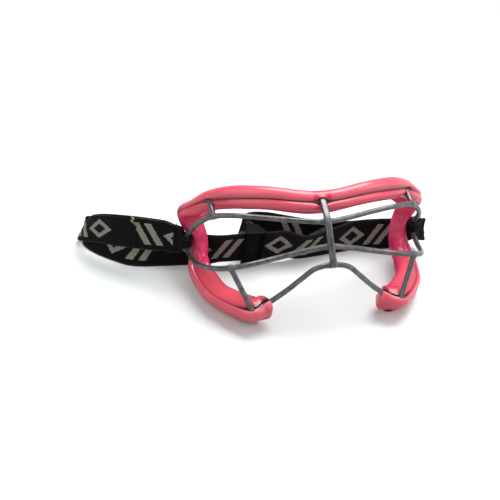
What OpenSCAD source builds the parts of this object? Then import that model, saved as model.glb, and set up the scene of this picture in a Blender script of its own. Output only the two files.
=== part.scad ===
// Women's lacrosse eye goggle: a welded wire guard with a moulded face pad and an elastic strap.
// It lies on its cheek pads, as it is put down on a table. The guard's mid-plane is x = 0 before
// place() moves everything over the origin, y grows away from the viewer and z = 0 is the table.

/* [Wire guard] */
// Diameter of the steel wire
wire_d = 3.3; // [2.8:0.1:3.8]
// Distance between the two temple bars, centre to centre
guard_w = 154.4; // [148:0.5:162]
// Straight length of each temple bar
bar_l = 8; // [7.5:0.5:9]
// Height of the middle of the temple bars above the table
bar_z = 27; // [26:0.5:28]
// Diameter of the weld beads
bead_d = 4.4; // [4.2:0.1:5.2]
// Diameter of the rounded knuckles at the ends of the temple bars
knuckle_d = 3.6; // [3.4:0.1:4]

/* [Centre bar] */
// Width of the flat centre bar
centre_bar_w = 4; // [3.6:0.1:5]
// Thickness of the centre bar
centre_bar_t = 2.8; // [2.4:0.1:3.2]
// How far the bar runs on past the nose wire
centre_bar_foot = 2.5; // [2:0.5:4]

/* [Face pad] */
// Width of the slit between the two lobes
slit_w = 1.2; // [0.8:0.1:1.6]
// How far the lobes stand in front of the wire's centre
lobe_h = 3.2; // [2.8:0.1:4]
// Clearance between the pad and the wires that it holds
pad_clear = 0.35; // [0.3:0.05:0.45]

/* [Strap] */
// Width of the elastic webbing
strap_w = 25; // [22:0.5:26]
// Thickness of the webbing
strap_t = 1.5; // [1.2:0.1:1.8]
// Thickness of the webbing where it bunches round a temple bar
bunch_t = 2; // [1.6:0.1:2.2]
// Reach of the sewn loops from the temple bars
loop_reach = 8; // [7.5:0.5:9]
// Angle between a loop and the guard's width, in degrees
loop_angle = 22; // [18:1:26]
// Gap left wherever the webbing passes another piece
strap_clear = 0.3; // [0.2:0.05:0.4]

/* [Adjuster] */
// Length of the slide along the strap
slide_l = 14.5; // [13:0.5:17]
// Diameter of the slide's middle bar
middle_bar_d = 2.6; // [2:0.1:3]
// Thickness of the slide's front rails
rail_t = 2.2; // [1.8:0.1:3]
// Width of each front rail along the strap
rail_w = 2.6; // [2.2:0.1:3.2]
// Thickness of the slide's two side plates
side_t = 2; // [1.6:0.1:2.6]
// Reach of the sewn strap end behind the middle bar
end_reach = 9; // [8:0.5:12]

/* [Hidden] */

steel_colour = "#6b7173";
pad_colour = "#e8596c";
strap_colour = "#17171a";
slide_colour = "#0e0e10";

wire_r = wire_d / 2;
wire_sides = 10;
bar_x = guard_w / 2;
bar_y = 36;

// The bends are measured on a guard 154.4 mm wide; a wider one spreads them evenly.
function bent(p) = [p[0] * guard_w / 154.4, p[1], p[2]];

// Bends of each wire, right half, from the mid-plane outwards. The rim and the nose arch are
// one closed curve: over the brow, down the temple and under the cheek to the corner, then
// up to the nose.
rim_bends = [
  [0, 12.4, 67.1], [13.2, 12.7, 68.1], [32, 16.8, 68.9], [51.6, 25, 65.1], [64.8, 33.9, 59.1],
  [73.5, 38.5, 52.5], [78.6, 42, 45], [76.5, 42.5, 37.5], [71.8, 39.6, 30], [70.6, 37.4, 22.5],
  [71.4, 33.5, 15.5], [72.6, 24, 11], [69, 3, 10.5], [63, -9, 11.5], [55.5, -18.5, 13],
  [47.5, -24.9, 15.3]
];
nose_bends = [
  [40.5, -21.6, 16.9], [35, -21.2, 20.2], [26, -21.4, 27.9], [18, -21.3, 35.5],
  [10.3, -21, 41.9], [0, -21.1, 44]
];
upper_bends = [
  [0, -0.5, 61.5], [15, 3, 60.7], [33, 9.3, 59.7], [52.8, 14.7, 59.2], [65, 20.6, 55.5],
  [72, 24.5, 49], [76, 29, 41]
];
lower_bends = [
  [0, -12.3, 51.3], [16, -10.7, 47.6], [33.7, -9.7, 42.9], [52.2, -10, 39.5], [65, -4.5, 34.5],
  [72, 8, 27.5], [75.4, 21, 23]
];
temple_top = [bar_x, bar_y, bar_z + bar_l / 2];
temple_foot = [bar_x, bar_y, bar_z - bar_l / 2];
cheek_corner = bent(rim_bends[len(rim_bends) - 1]);
brow_weld = bent(rim_bends[4]);
upper_weld = bent(upper_bends[4]);
// Shared functions
function unit(v) = v / norm(v);
function mirrored(p) = [-p[0], p[1], p[2]];
function reversed(list) = [for (i = [len(list) - 1:-1:0]) list[i]];
function part_of(list, first, last) = [for (i = [first:last]) list[i]];
function both_halves(half) =
  concat([for (p = reversed(part_of(half, 1, len(half) - 1))) mirrored(p)], half);

// A smooth curve through the rows of a table, with steps points from each row to the next.
// The first and last rows only steer it.
function curve_point(a, b, c, d, t) =
  0.5 * (2 * b + (c - a) * t + (2 * a - 5 * b + 4 * c - d) * t * t
    + (3 * b - a - 3 * c + d) * t * t * t);
function steered(rows, steps) =
  let (n = len(rows))
  concat(
    [for (i = [1:n - 3], k = [0:steps - 1])
      curve_point(rows[i - 1], rows[i], rows[i + 1], rows[i + 2], k / steps)],
    [rows[n - 2]]);
function smooth(rows, steps) =
  let (n = len(rows))
  steered(concat([2 * rows[0] - rows[1]], rows, [2 * rows[n - 1] - rows[n - 2]]), steps);
function xyz(row) = [row[0], row[1], row[2]];
lower_weld = bent(curve_point(lower_bends[2], lower_bends[3], lower_bends[4], lower_bends[5], 0.5));
function tangents(path) =
  [for (i = [0:len(path) - 1])
    unit(path[min(i + 1, len(path) - 1)] - path[max(i - 1, 0)])];
function square_to(v, t) = unit(v - (v * t) * t);
function carried(normals, ts) =
  len(normals) == len(ts) ? normals
  : carried(concat(normals, [square_to(normals[len(normals) - 1], ts[len(normals)])]), ts);

// Closed skin over rings that all have the same number of points. Each ring runs
// anticlockwise, seen with the path coming towards the viewer.
module skin(rings) {
  m = len(rings[0]);
  n = len(rings);
  polyhedron(
    points = [for (ring = rings, p = ring) p],
    faces = concat(
      [[for (j = [0:m - 1]) j]],
      [for (i = [0:n - 2], j = [0:m - 1]) [i * m + j, (i + 1) * m + j, (i + 1) * m + (j + 1) % m]],
      [for (i = [0:n - 2], j = [0:m - 1]) [i * m + j, (i + 1) * m + (j + 1) % m, i * m + (j + 1) % m]],
      [[for (j = [m - 1:-1:0]) (n - 1) * m + j]]));
}

// Round wire along a path
module wire(path, start_normal) {
  ts = tangents(path);
  ns = carried([square_to(start_normal, ts[0])], ts);
  skin([for (i = [0:len(path) - 1])
    [for (k = [0:wire_sides - 1])
      path[i] + wire_r * (cos(360 * k / wire_sides) * ns[i]
        + sin(360 * k / wire_sides) * cross(ts[i], ns[i]))]]);
}

// Straight round rod from a to b
module rod(a, b, d) {
  v = b - a;
  translate(a)
    rotate([0, acos(v[2] / norm(v)), atan2(v[1], v[0])])
      cylinder(d = d, h = norm(v), $fn = 32);
}

// Flat band along rows of [x, y, z, lean, width, thickness]. It stands on edge: lean tips the
// upper edge towards the band's right, seen along its run. Its edges are slightly rounded.
function band_section(w, t) =
  [[w / 2, 0], [w / 2 - t * 0.4, -t / 2], [-w / 2 + t * 0.4, -t / 2],
   [-w / 2, 0], [-w / 2 + t * 0.4, t / 2], [w / 2 - t * 0.4, t / 2]];
function band_rings(rows) =
  let (path = [for (r = rows) xyz(r)], ts = tangents(path))
  [for (i = [0:len(rows) - 1])
    let (
      left = unit(cross([0, 0, 1], ts[i])),
      across = cos(rows[i][3]) * [0, 0, 1] - sin(rows[i][3]) * left,
      out = cross(across, cross(left, [0, 0, 1])))
    [for (q = band_section(rows[i][4], rows[i][5]))
      let (p = path[i] + q[0] * across + q[1] * out)
      [p[0], p[1], max(p[2], 0)]]];
module band(rows) skin(band_rings(rows));

// Everything is placed with the origin under the middle of the whole object.
lobe_far_x = -140.5;
bulge_far_x = 91.5;
lobe_back_y = 85.7;
pad_front_y = -28.9;
module place() {
  translate([-(lobe_far_x + bulge_far_x) / 2, -(lobe_back_y + pad_front_y) / 2, 0]) children();
}

// Wire guard
guard_bends = concat(rim_bends, nose_bends);
corner_i = len(rim_bends) - 1;
last_i = len(guard_bends) - 1;
rim_steps = 2;
nose_steps = 4;
function guard_curve(steps) = steered(
  concat([guard_bends[last_i - 1]], both_halves(guard_bends), [mirrored(guard_bends[last_i - 1])]),
  steps);
rim_path = [for (p = part_of(guard_curve(rim_steps),
  rim_steps * (last_i - corner_i), rim_steps * (last_i + corner_i))) bent(p)];
nose_path = let (c = guard_curve(nose_steps)) [for (p = concat(
  part_of(c, nose_steps * (last_i + corner_i), len(c) - 1),
  part_of(c, 1, nose_steps * (last_i - corner_i)))) bent(p)];
upper_path = smooth(concat(
  [mirrored(temple_top)], [for (p = both_halves(upper_bends)) bent(p)], [temple_top]), 3);
lower_path = smooth(concat(
  [mirrored(temple_foot)], [for (p = both_halves(lower_bends)) bent(p)], [temple_foot]), 3);

module rim_wire() color(steel_colour) place() wire(rim_path, [0, 0, 1]);
module nose_wire() color(steel_colour) place() wire(nose_path, [0, 0, 1]);
module upper_eye_wire() color(steel_colour) place() wire(upper_path, [1, 0, 0]);
module lower_eye_wire() color(steel_colour) place() wire(lower_path, [1, 0, 0]);

module temple_bar(side) color(steel_colour) place()
  translate([side * bar_x, bar_y, bar_z - bar_l / 2]) cylinder(r = wire_r, h = bar_l, $fn = 48);
module left_temple_bar() temple_bar(-1);
module right_temple_bar() temple_bar(1);

module strut(side, a, b) color(steel_colour) place() mirror([side < 0 ? 1 : 0, 0, 0]) rod(a, b, wire_d);
module left_brow_strut() strut(-1, brow_weld, upper_weld);
module right_brow_strut() strut(1, brow_weld, upper_weld);
module left_cheek_strut() strut(-1, lower_weld, cheek_corner);
module right_cheek_strut() strut(1, lower_weld, cheek_corner);

// The centre bar passes in front of the four wires that cross the mid-plane. Its line is
// given as points of [y, z] on the wires' centres, moved out by half of both thicknesses.
bar_line = [[12.4, 67.1], [-0.5, 61.5], [-12.3, 51.3], [-21.1, 44]];
bar_out = [[-0.35, 0.94], [-0.57, 0.82], [-0.65, 0.76], [-0.64, 0.77]];
bar_end = bar_line[3] + centre_bar_foot * unit(bar_line[3] - bar_line[2]);
function bar_side(offset) =
  concat(
    [for (i = [0:3]) bar_line[i] + offset * unit(bar_out[i])],
    [bar_end + offset * unit(bar_out[3])]);
module centre_bar_solid(grow) {
  inner = smooth(bar_side(wire_r - 0.2 - grow), 4);
  outer = smooth(bar_side(wire_r - 0.2 + centre_bar_t + grow), 4);
  rotate([90, 0, 90])
    linear_extrude(height = centre_bar_w + 2 * grow, center = true)
      polygon(concat(inner, reversed(outer)));
}
module centre_bar() color(steel_colour) place() centre_bar_solid(0);

module weld_beads(side) color(steel_colour) place() mirror([side < 0 ? 1 : 0, 0, 0]) {
  for (p = [upper_weld, lower_weld, cheek_corner])
    translate(p) sphere(d = bead_d, $fn = 24);
  for (p = [temple_top, temple_foot])
    translate(p) sphere(d = knuckle_d, $fn = 24);
}
module left_weld_beads() weld_beads(-1);
module right_weld_beads() weld_beads(1);

// Face pad. Each row goes with one bend of the rim wire, and the last three with the first
// bends of the nose wire, which the cheek ends still hold. A row gives the direction across
// the pad towards the eyes, then the widths of the outer lobe and inner lobe, the reach of
// the face side past the inner lobe, how far the face side is tucked in under the outer lobe,
// the depth behind the wire, the lobes' height in front of it, and the width of the slit.
// The slit turns outwards at the temples and opens at the cheek ends, so the wire shows there.
pad_rows = [
  [0, -0.55, -0.84, 7, 6.4, 1, 0, 12, lobe_h, slit_w],
  [0, -0.55, -0.84, 7, 6.4, 1, 0, 12, lobe_h, slit_w],
  [0, -0.5, -0.86, 7.3, 6.8, 1, 0, 12, lobe_h, slit_w],
  [-0.1, -0.45, -0.86, 6.9, 7, 1.5, 0, 12, lobe_h, slit_w],
  [-0.3, -0.4, -0.85, 4.4, 7.6, 2, 0, 10, lobe_h, slit_w],
  [-0.3, -0.66, -0.68, 3.8, 7.4, 1.5, 0.5, 9.5, lobe_h, slit_w],
  [-0.15, -0.95, -0.28, 5.2, 4.2, 0, -1.5, 10.4, 2.8, slit_w],
  [-0.24, -0.94, 0.26, 5, 4, 0, -1.5, 10.4, 2.6, slit_w],
  [-0.58, -0.67, 0.46, 4.6, 4.6, 0, -1, 7.8, 2.3, slit_w],
  [-0.64, -0.7, 0.3, 4.8, 5, 0, -0.5, 7.8, 2.4, slit_w],
  [-0.8, -0.45, 0.39, 4.2, 8.6, -2.5, 0.5, 8, 3, slit_w],
  [-0.92, -0.15, 0.35, 4.2, 11, -5, 1.5, 10, lobe_h, slit_w],
  [-0.95, 0.2, 0.25, 4, 12.6, -4.5, 3, 11.6, lobe_h, slit_w],
  [-0.85, 0.48, 0.2, 3.2, 14, -3, 4.5, 13.4, lobe_h, slit_w],
  [-0.7, 0.7, 0.14, 3.6, 15, -2, 6.5, 15.2, lobe_h, slit_w],
  [-0.5, 0.84, 0.18, 4.2, 13, -1.5, 6.5, 14.5, lobe_h, 2 * slit_w],
  [-0.3, 0.9, 0.2, 5, 7.6, 0, 1.5, 9.5, 3, 4],
  [-0.2, 0.9, 0.2, 5, 5.4, 0, 0.5, 6.5, 2.8, 4],
  [-0.2, 0.9, 0.2, 5, 5.4, 0, 0.5, 6.5, 2.8, 4]
];

groove_r = wire_r + pad_clear + 0.5;
function pad_section(outer, inner, flange, tuck, depth, h, slit) =
  let (m = slit / 2, g = groove_r, neck = g * 0.84, lip = max(h - 0.9, neck + 0.1))
  [
    [m, -lip], [m, -neck],
    [g * 0.9, -g * 0.3], [g * 0.6, g * 0.8], [-g * 0.6, g * 0.8], [-g * 0.9, -g * 0.3],
    [-m, -neck], [-m, -lip],
    [-outer * 0.42, -h], [-outer * 0.84, -h * 0.55], [-outer, depth * 0.15],
    [-outer * 0.62 + tuck * 0.55, depth * 0.65], [tuck, depth],
    [inner + flange - 1, depth], [inner + flange, depth * 0.8],
    [inner, depth * 0.3], [inner * 0.9, -h * 0.45], [inner * 0.45, -h]
  ];

pad_bends = [for (i = [0:len(pad_rows) - 1]) concat(bent(guard_bends[i]), pad_rows[i])];
function mirrored_row(r) = concat([-r[0], r[1], r[2], -r[3]], part_of(r, 4, len(r) - 1));
pad_curve = steered(concat(
  [for (r = reversed(part_of(pad_bends, 1, len(pad_bends) - 1))) mirrored_row(r)], pad_bends), rim_steps);

// The cheek ends stop half a row short of their last size.
pad_table = part_of(pad_curve, 1, len(pad_curve) - 2);

function pad_rings(table) =
  let (path = [for (r = table) xyz(r)], ts = tangents(path))
  [for (i = [0:len(table) - 1])
    let (
      r = table[i],
      into = square_to([r[3], r[4], r[5]], ts[i]),
      back = cross(ts[i], into))
    [for (q = reversed(pad_section(r[6], r[7], r[8], r[9], r[10], r[11], r[12])))
      let (p = path[i] + q[0] * into + q[1] * back)
      [p[0], p[1], max(p[2], 0)]]];

module face_pad() color(pad_colour) place()
  difference() {
    skin(pad_rings(pad_table));
    centre_bar_solid(pad_clear);
    for (side = [-1, 1])
      mirror([side < 0 ? 1 : 0, 0, 0]) {
        rod(brow_weld, upper_weld, wire_d + 2 * pad_clear);
        rod(cheek_corner, lower_weld, wire_d + 2 * pad_clear);
        translate(cheek_corner) sphere(d = bead_d + 2 * pad_clear, $fn = 24);
      }
  }

// Strap. The loops turn round the temple bars, bunched to the bar's length there, and
// spread to the full width. Plan points are [along, aside] from the bar's centre.
loop_gap = 0.9 + strap_t / 2;
bend_r = wire_r + strap_clear + bunch_t / 2;
bunch_w = bar_l - 2 * strap_clear;
left_drop = -1.5;
right_drop = 4;
left_narrow = 2;
right_narrow = 7;
function loop_rows(aside) =
  let (
    legs = [[loop_reach, aside, 1], [loop_reach * 0.8, aside, 0.95], [loop_reach * 0.6, aside * 1.05, 0.8],
      [loop_reach * 0.4, max(aside, bend_r * 0.85), 0.5], [wire_r * 0.8, bend_r, 0.08]],
    turn = [for (a = [112.5:22.5:247.5]) [bend_r * cos(a), bend_r * sin(a), 0]])
  concat(legs, turn, [for (leg = reversed(legs)) [leg[0], -leg[1], leg[2]]]);
module strap_loop(aside, drop, narrow) {
  band([for (p = loop_rows(aside))
    [p[0], p[1], -drop * p[2], 0,
     bunch_w + (strap_w - narrow - bunch_w) * p[2], bunch_t + (strap_t - bunch_t) * p[2]]]);
}
left_gap = loop_gap;
right_gap = loop_gap + 0.6;
module right_strap_loop() color(strap_colour) place()
  translate([bar_x, bar_y, bar_z]) rotate([0, 0, loop_angle])
    strap_loop(right_gap, right_drop, right_narrow);
module left_strap_loop() color(strap_colour) place()
  translate([-bar_x, bar_y, bar_z]) rotate([0, 0, 180 - loop_angle])
    strap_loop(left_gap, left_drop, left_narrow);

// Where a leg of a loop ends, as [x, y]
function leg_end(side, aside, reach) =
  [side * (bar_x + reach * cos(loop_angle) - aside * sin(loop_angle)),
   bar_y + reach * sin(loop_angle) + aside * cos(loop_angle)];
web_reach = loop_reach + 2 * strap_clear;

// The slide and the straight run of webbing through it
run_lean = 10;
run_turn = 0;
run_mid = [-31, 41.2];
run_half = 11;
slide_half_h = strap_w / 2 + strap_clear + side_t;
front_rail_y = -(strap_t / 2 + strap_clear + rail_t);
run_z = slide_half_h * cos(run_lean) - front_rail_y * sin(run_lean);
function run_point(u) = [run_mid[0] + u * cos(run_turn), run_mid[1] + u * sin(run_turn)];

// Rows of [x, y, height of the lower edge above the table, lean, how much it is gathered]
function standing(r) =
  let (w = strap_w - (len(r) > 4 ? r[4] : 0))
  [r[0], r[1], r[2] + w / 2 * cos(r[3]), r[3], w, strap_t];
left_end = leg_end(-1, -left_gap, web_reach);
right_end = leg_end(1, right_gap + 2 * strap_clear, web_reach);
lobe_rows = [
  [-97, 42.6, 16.6, 0, 1], [-107, 46.2, 16, 0], [-115.5, 52, 13.6, 0], [-122.8, 59, 9.8, 3],
  [-129, 65.6, 6.2, 8, 0.5], [-133.2, 71.4, 4, 15, 1.5], [-135.4, 77, 2, 24, 3],
  [-134.6, 80.6, 0.6, 26, 3.5], [-132, 80.6, 0, 18, 3], [-128.8, 75.4, 0, 0, 2],
  [-123.8, 69.2, 0, -10, 1], [-118.6, 63.2, 0, -13], [-113, 56.6, 0, -12], [-104.5, 51.6, 0, -9],
  [-95, 49.6, 0, -7], [-84, 47.6, 0, -4], [-73, 46.2, 0, 0], [-60, 44, 0, -3],
  [-51, 42.4, 1.4, 3]
];
bulge_rows = [
  [-8, 40.4, 1, 15], [3, 40.1, 0, 19], [15, 42.7, 0, 14], [28, 46.1, 0, 8], [41, 49, 0, 2],
  [55, 49.2, 0, 0], [68, 48.4, 0, 0], [75.5, 48, 2, 2, 2], [81, 47, 5, 8, 4.5],
  [83.9, 44.9, 9, 6, 6.5]
];
webbing_rows = concat(
  [[left_end[0], left_end[1], bar_z - left_drop, 0, strap_w - left_narrow, strap_t]],
  [for (r = lobe_rows) standing(r)],
  [for (u = [-run_half:run_half:run_half])
    [run_point(u)[0], run_point(u)[1], run_z, run_lean, strap_w, strap_t]],
  [for (r = bulge_rows) standing(r)],
  [[right_end[0], right_end[1], bar_z - right_drop, 0, strap_w - right_narrow, strap_t]]);
module strap_webbing() color(strap_colour) place() band(smooth(webbing_rows, 3));

// The layer that comes back from the right loop to the slide
return_end = leg_end(1, -right_gap, web_reach);
return_rows = [
  [87.8, 40.6, 11.4, -14, 7], [88.2, 45, 9, -17, 6.5], [85.6, 49.2, 6, -10, 5],
  [79, 50.6, 3, -3, 3.5], [70, 50.8, 0.8, 0, 2.5], [57, 51.6, 0, 0, 2], [41, 51.8, 0, 0, 2],
  [28, 51.4, 0, 0, 1.5], [16, 52.6, 0, 0, 1], [4, 56.6, 0, 0], [-6, 61, 0, 0], [-15, 64.6, 0, 0],
  [-24, 66.4, 0, 0], [-29.6, 65, 0, 2], [-32.6, 60, 0.6, 6]
];

// The sewn end turns round the slide's middle bar, which stands behind the webbing.
end_bend_r = middle_bar_d / 2 + strap_clear + strap_t / 2;
middle_bar_y = strap_t / 2 + strap_clear + strap_t + strap_clear + middle_bar_d / 2;
end_angle = 112;
end_w = strap_w - 1;
function slide_to_guard(p) =
  let (y = p[1] * cos(run_lean) - p[2] * sin(run_lean))
  [run_mid[0] + p[0] * cos(run_turn) - y * sin(run_turn),
   run_mid[1] + p[0] * sin(run_turn) + y * cos(run_turn),
   run_z + p[1] * sin(run_lean) + p[2] * cos(run_lean)];
function end_point(reach, aside) =
  slide_to_guard([reach * cos(end_angle) - aside * sin(end_angle),
    middle_bar_y + reach * sin(end_angle) + aside * cos(end_angle), 0]);
end_gap = 0.9;
return_start = end_point(end_reach + strap_clear, end_gap);
return_lift = end_point(end_reach + 2 * strap_t, end_gap);
module strap_return() color(strap_colour) place()
  band(smooth(concat(
    [[return_end[0], return_end[1], bar_z - right_drop, 0, strap_w - right_narrow, strap_t]],
    [for (r = return_rows) standing(r)],
    [[return_lift[0], return_lift[1], return_lift[2], -run_lean * 0.9, end_w, strap_t]],
    [[return_start[0], return_start[1], return_start[2], -run_lean, end_w, strap_t]]), 3));

module at_slide() place()
  translate([run_mid[0], run_mid[1], run_z]) rotate([0, 0, run_turn]) rotate([run_lean, 0, 0])
    children();

module slide_plate() {
  half = slide_l / 2;
  front = front_rail_y;
  rear = middle_bar_y + middle_bar_d / 2 + 0.6;
  polygon([[-half + 0.8, front], [half - 0.8, front], [half, front + 0.8], [half, front + rail_t],
    [middle_bar_d, rear], [-middle_bar_d, rear], [-half, front + rail_t], [-half, front + 0.8]]);
}
module front_rail(x) translate([x, 0, 0]) {
  corner = 0.7;
  for (dx = [corner, rail_w - corner], y = [front_rail_y + corner, front_rail_y + rail_t - corner])
    translate([dx, y, 0]) cylinder(r = corner, h = 2 * slide_half_h, center = true, $fn = 24);
  translate([corner, front_rail_y, -slide_half_h]) cube([rail_w - 2 * corner, rail_t, 2 * slide_half_h]);
  translate([0, front_rail_y + corner, -slide_half_h])
    cube([rail_w, rail_t - 2 * corner, 2 * slide_half_h]);
}
module adjuster_slide() color(slide_colour) at_slide() {
  for (z = [-slide_half_h, slide_half_h - side_t])
    translate([0, 0, z]) linear_extrude(height = side_t) slide_plate();
  front_rail(-slide_l / 2);
  front_rail(slide_l / 2 - rail_w);
  translate([0, middle_bar_y, 0])
    cylinder(d = middle_bar_d, h = 2 * slide_half_h - side_t, center = true, $fn = 48);
}

module adjuster_loop() color(strap_colour) at_slide() translate([0, middle_bar_y, 0])
  rotate([0, 0, end_angle])
    band([for (p = concat(
        [[end_reach, end_gap], [end_reach * 0.6, end_gap * 1.2], [end_reach * 0.3, end_bend_r * 0.9]],
        [for (a = [90:22.5:270]) [end_bend_r * cos(a), end_bend_r * sin(a)]],
        [[end_reach * 0.3, -end_bend_r * 0.9], [end_reach * 0.6, -end_gap * 1.2], [end_reach, -end_gap]]))
      [p[0], p[1], 0, 0, end_w, strap_t]]);

rim_wire();
nose_wire();
upper_eye_wire();
lower_eye_wire();
left_temple_bar();
right_temple_bar();
centre_bar();
left_brow_strut();
right_brow_strut();
left_cheek_strut();
right_cheek_strut();
left_weld_beads();
right_weld_beads();
face_pad();
strap_webbing();
strap_return();
left_strap_loop();
right_strap_loop();
adjuster_slide();
adjuster_loop();
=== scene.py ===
"""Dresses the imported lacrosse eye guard: coated wires, silicone face pad, woven strap, slide.

Sizes are millimetres in the guard's own coordinates (mid-plane x = 0, table z = 0), and to_row
turns them to metres in the shared frame. Angles are in degrees up to where they are used.
"""

from __future__ import annotations

import logging
import math
from collections.abc import Callable, Iterable
from dataclasses import dataclass
from enum import Enum
from typing import NamedTuple

import bpy
import numpy as np
from mathutils import Matrix


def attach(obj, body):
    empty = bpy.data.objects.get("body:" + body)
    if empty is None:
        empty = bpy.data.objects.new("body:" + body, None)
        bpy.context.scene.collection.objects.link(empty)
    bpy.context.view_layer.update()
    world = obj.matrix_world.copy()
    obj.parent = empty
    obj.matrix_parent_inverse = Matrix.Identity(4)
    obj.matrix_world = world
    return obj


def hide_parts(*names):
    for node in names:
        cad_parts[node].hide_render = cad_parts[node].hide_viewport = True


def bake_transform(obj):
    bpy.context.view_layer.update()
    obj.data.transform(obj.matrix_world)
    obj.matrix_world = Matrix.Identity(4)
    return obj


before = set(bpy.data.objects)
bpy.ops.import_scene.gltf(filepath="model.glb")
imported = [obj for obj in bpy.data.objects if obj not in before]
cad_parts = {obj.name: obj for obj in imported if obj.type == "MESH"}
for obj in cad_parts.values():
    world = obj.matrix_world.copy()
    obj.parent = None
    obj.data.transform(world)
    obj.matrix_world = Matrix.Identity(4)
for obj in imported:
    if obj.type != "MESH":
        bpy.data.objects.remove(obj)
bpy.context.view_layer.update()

logging.basicConfig(level=logging.INFO, format="%(message)s")
log = logging.getLogger("eye_guard")

GUARD_IN_ROW = np.array([24.5, -28.4, 0.0])
ACROSS = np.array([1.0, 0.0, 0.0])
UP = np.array([0.0, 0.0, 1.0])
MIRROR = np.array([-1.0, 1.0, 1.0])
STRAP_WIDTH = 25.0


class Body(str, Enum):
    """The rigid bodies that a piece can ride on."""

    GUARD = "guard"
    LEFT_LOOP = "left_loop"
    RIGHT_LOOP = "right_loop"
    ADJUSTER = "adjuster"
    ADJUSTER_END = "adjuster_end"


class Side(int, Enum):
    """Left and right as the sign of x."""

    LEFT = -1
    RIGHT = 1

    @property
    def word(self) -> str:
        """The side as the nodes name it."""
        return self.name.lower()

    @property
    def flip(self) -> np.ndarray:
        """What a point of the right half is multiplied by on this side."""
        return np.array([self.value, 1.0, 1.0])


# Shared geometry


def to_row(points: np.ndarray) -> np.ndarray:
    """Guard millimetres to metres in the shared frame."""
    return (np.asarray(points, float) + GUARD_IN_ROW) / 1000.0


def unit(v: np.ndarray) -> np.ndarray:
    """Vectors scaled to length 1 along the last axis."""
    return v / np.linalg.norm(v, axis=-1, keepdims=True)


def square_to(v: np.ndarray, t: np.ndarray) -> np.ndarray:
    """The part of v square to the unit vectors t, as unit vectors: v - (v.t) t."""
    return unit(v - np.sum(v * t, axis=-1, keepdims=True) * t)


def turned(x: np.ndarray, y: np.ndarray, degrees: float) -> tuple[np.ndarray, np.ndarray]:
    """Plane coordinates turned anticlockwise: x cos a - y sin a and x sin a + y cos a."""
    a = math.radians(degrees)
    return x * math.cos(a) - y * math.sin(a), x * math.sin(a) + y * math.cos(a)


def both_halves(half: np.ndarray, flip: np.ndarray = MIRROR) -> np.ndarray:
    """A table that starts on the mid-plane, joined to its mirror image."""
    return np.vstack([half[:0:-1] * flip, half])


def catmull(a: np.ndarray, b: np.ndarray, c: np.ndarray, d: np.ndarray, t: np.ndarray
            ) -> np.ndarray:
    """From b to c: (2b + (c - a)t + (2a - 5b + 4c - d)t^2 + (3b - a - 3c + d)t^3) / 2."""
    return 0.5 * (2 * b + (c - a) * t + (2 * a - 5 * b + 4 * c - d) * t**2
                  + (3 * b - a - 3 * c + d) * t**3)


def read_rows(rows: np.ndarray, where: np.ndarray) -> np.ndarray:
    """Reads a table at fractional row numbers, on a Catmull-Rom curve through its rows.

    Args:
        rows: The table, one row per bend.
        where: Row numbers, whole at the rows themselves.

    Returns:
        One row per entry of where.
    """
    i = np.clip(np.floor(where).astype(int), 0, len(rows) - 2)
    steered = np.vstack([2 * rows[0] - rows[1], rows, 2 * rows[-1] - rows[-2]])
    return catmull(*(steered[i + k] for k in range(4)), (where - i)[:, None])


def along(first: float, last: float, per_row: int) -> np.ndarray:
    """Row numbers from first to last with per_row steps for each row."""
    return np.linspace(first, last, int(round(abs(last - first) * per_row)) + 1)


def tangents(path: np.ndarray) -> np.ndarray:
    """Unit directions along a path, by central differences."""
    return unit(np.gradient(path, axis=0))


def run_lengths(path: np.ndarray) -> np.ndarray:
    """Distance along a path to each of its points."""
    steps = np.linalg.norm(np.diff(path, axis=0), axis=1)
    return np.concatenate([[0.0], np.cumsum(steps)])


def read_along(where: np.ndarray, run: np.ndarray, table: np.ndarray) -> np.ndarray:
    """Reads every column of a table with its rows at the distances run, at others."""
    return np.stack([np.interp(where, run, column) for column in table.T], axis=1)


def round_rings(path: np.ndarray, radius: np.ndarray | float, guide: np.ndarray,
                sides: int = 28) -> np.ndarray:
    """Rings of a round rod: centre + r (cos a n + sin a t x n), with n square to the path.

    Args:
        path: The rod's centre line.
        radius: Its radius, or one for each point of the path.
        guide: A direction that is never along the path, which n leans towards.
        sides: Points on a ring.

    Returns:
        Points as (ring, place on the ring, xyz).
    """
    t = tangents(path)
    n = square_to(np.broadcast_to(guide, t.shape), t)
    a = (2 * math.pi * np.arange(sides) / sides)[:, None]
    r = np.broadcast_to(radius, (len(path),))[:, None, None]
    return path[:, None] + r * (np.cos(a) * n[:, None] + np.sin(a) * np.cross(t, n)[:, None])


def ball_rings(centre: np.ndarray, radius: float, guide: np.ndarray) -> np.ndarray:
    """Rings of an upright ball: radius r cos a at the height r sin a, both ways.

    Args:
        centre: The ball's centre.
        radius: Its radius.
        guide: A level direction that each ring starts towards.

    Returns:
        Points as (ring, place on the ring, xyz).
    """
    a = np.linspace(0, math.pi / 2 - 0.08, 10)
    height, radii = 0.01 + radius * np.sin(a), radius * np.cos(a)
    path = centre + np.concatenate([-height[::-1], height])[:, None] * UP
    return round_rings(path, np.concatenate([radii[::-1], radii]), guide, 24)


def round_a_bar(leg: list[tuple[float, float, float]], bend: float, angles: np.ndarray
                ) -> np.ndarray:
    """Webbing round a bar in plan: out along a leg, round the bar, and back opposite it.

    Args:
        leg: Points [along, aside, share of the way from the bar].
        bend: The radius of the turn.
        angles: Where on the turn its points lie.

    Returns:
        All points, with a share of 0 on the turn.
    """
    turn = [(bend * math.cos(a), bend * math.sin(a), 0.0) for a in np.radians(angles)]
    return np.array(leg + turn + [(x, -y, share) for x, y, share in leg[::-1]])


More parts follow.
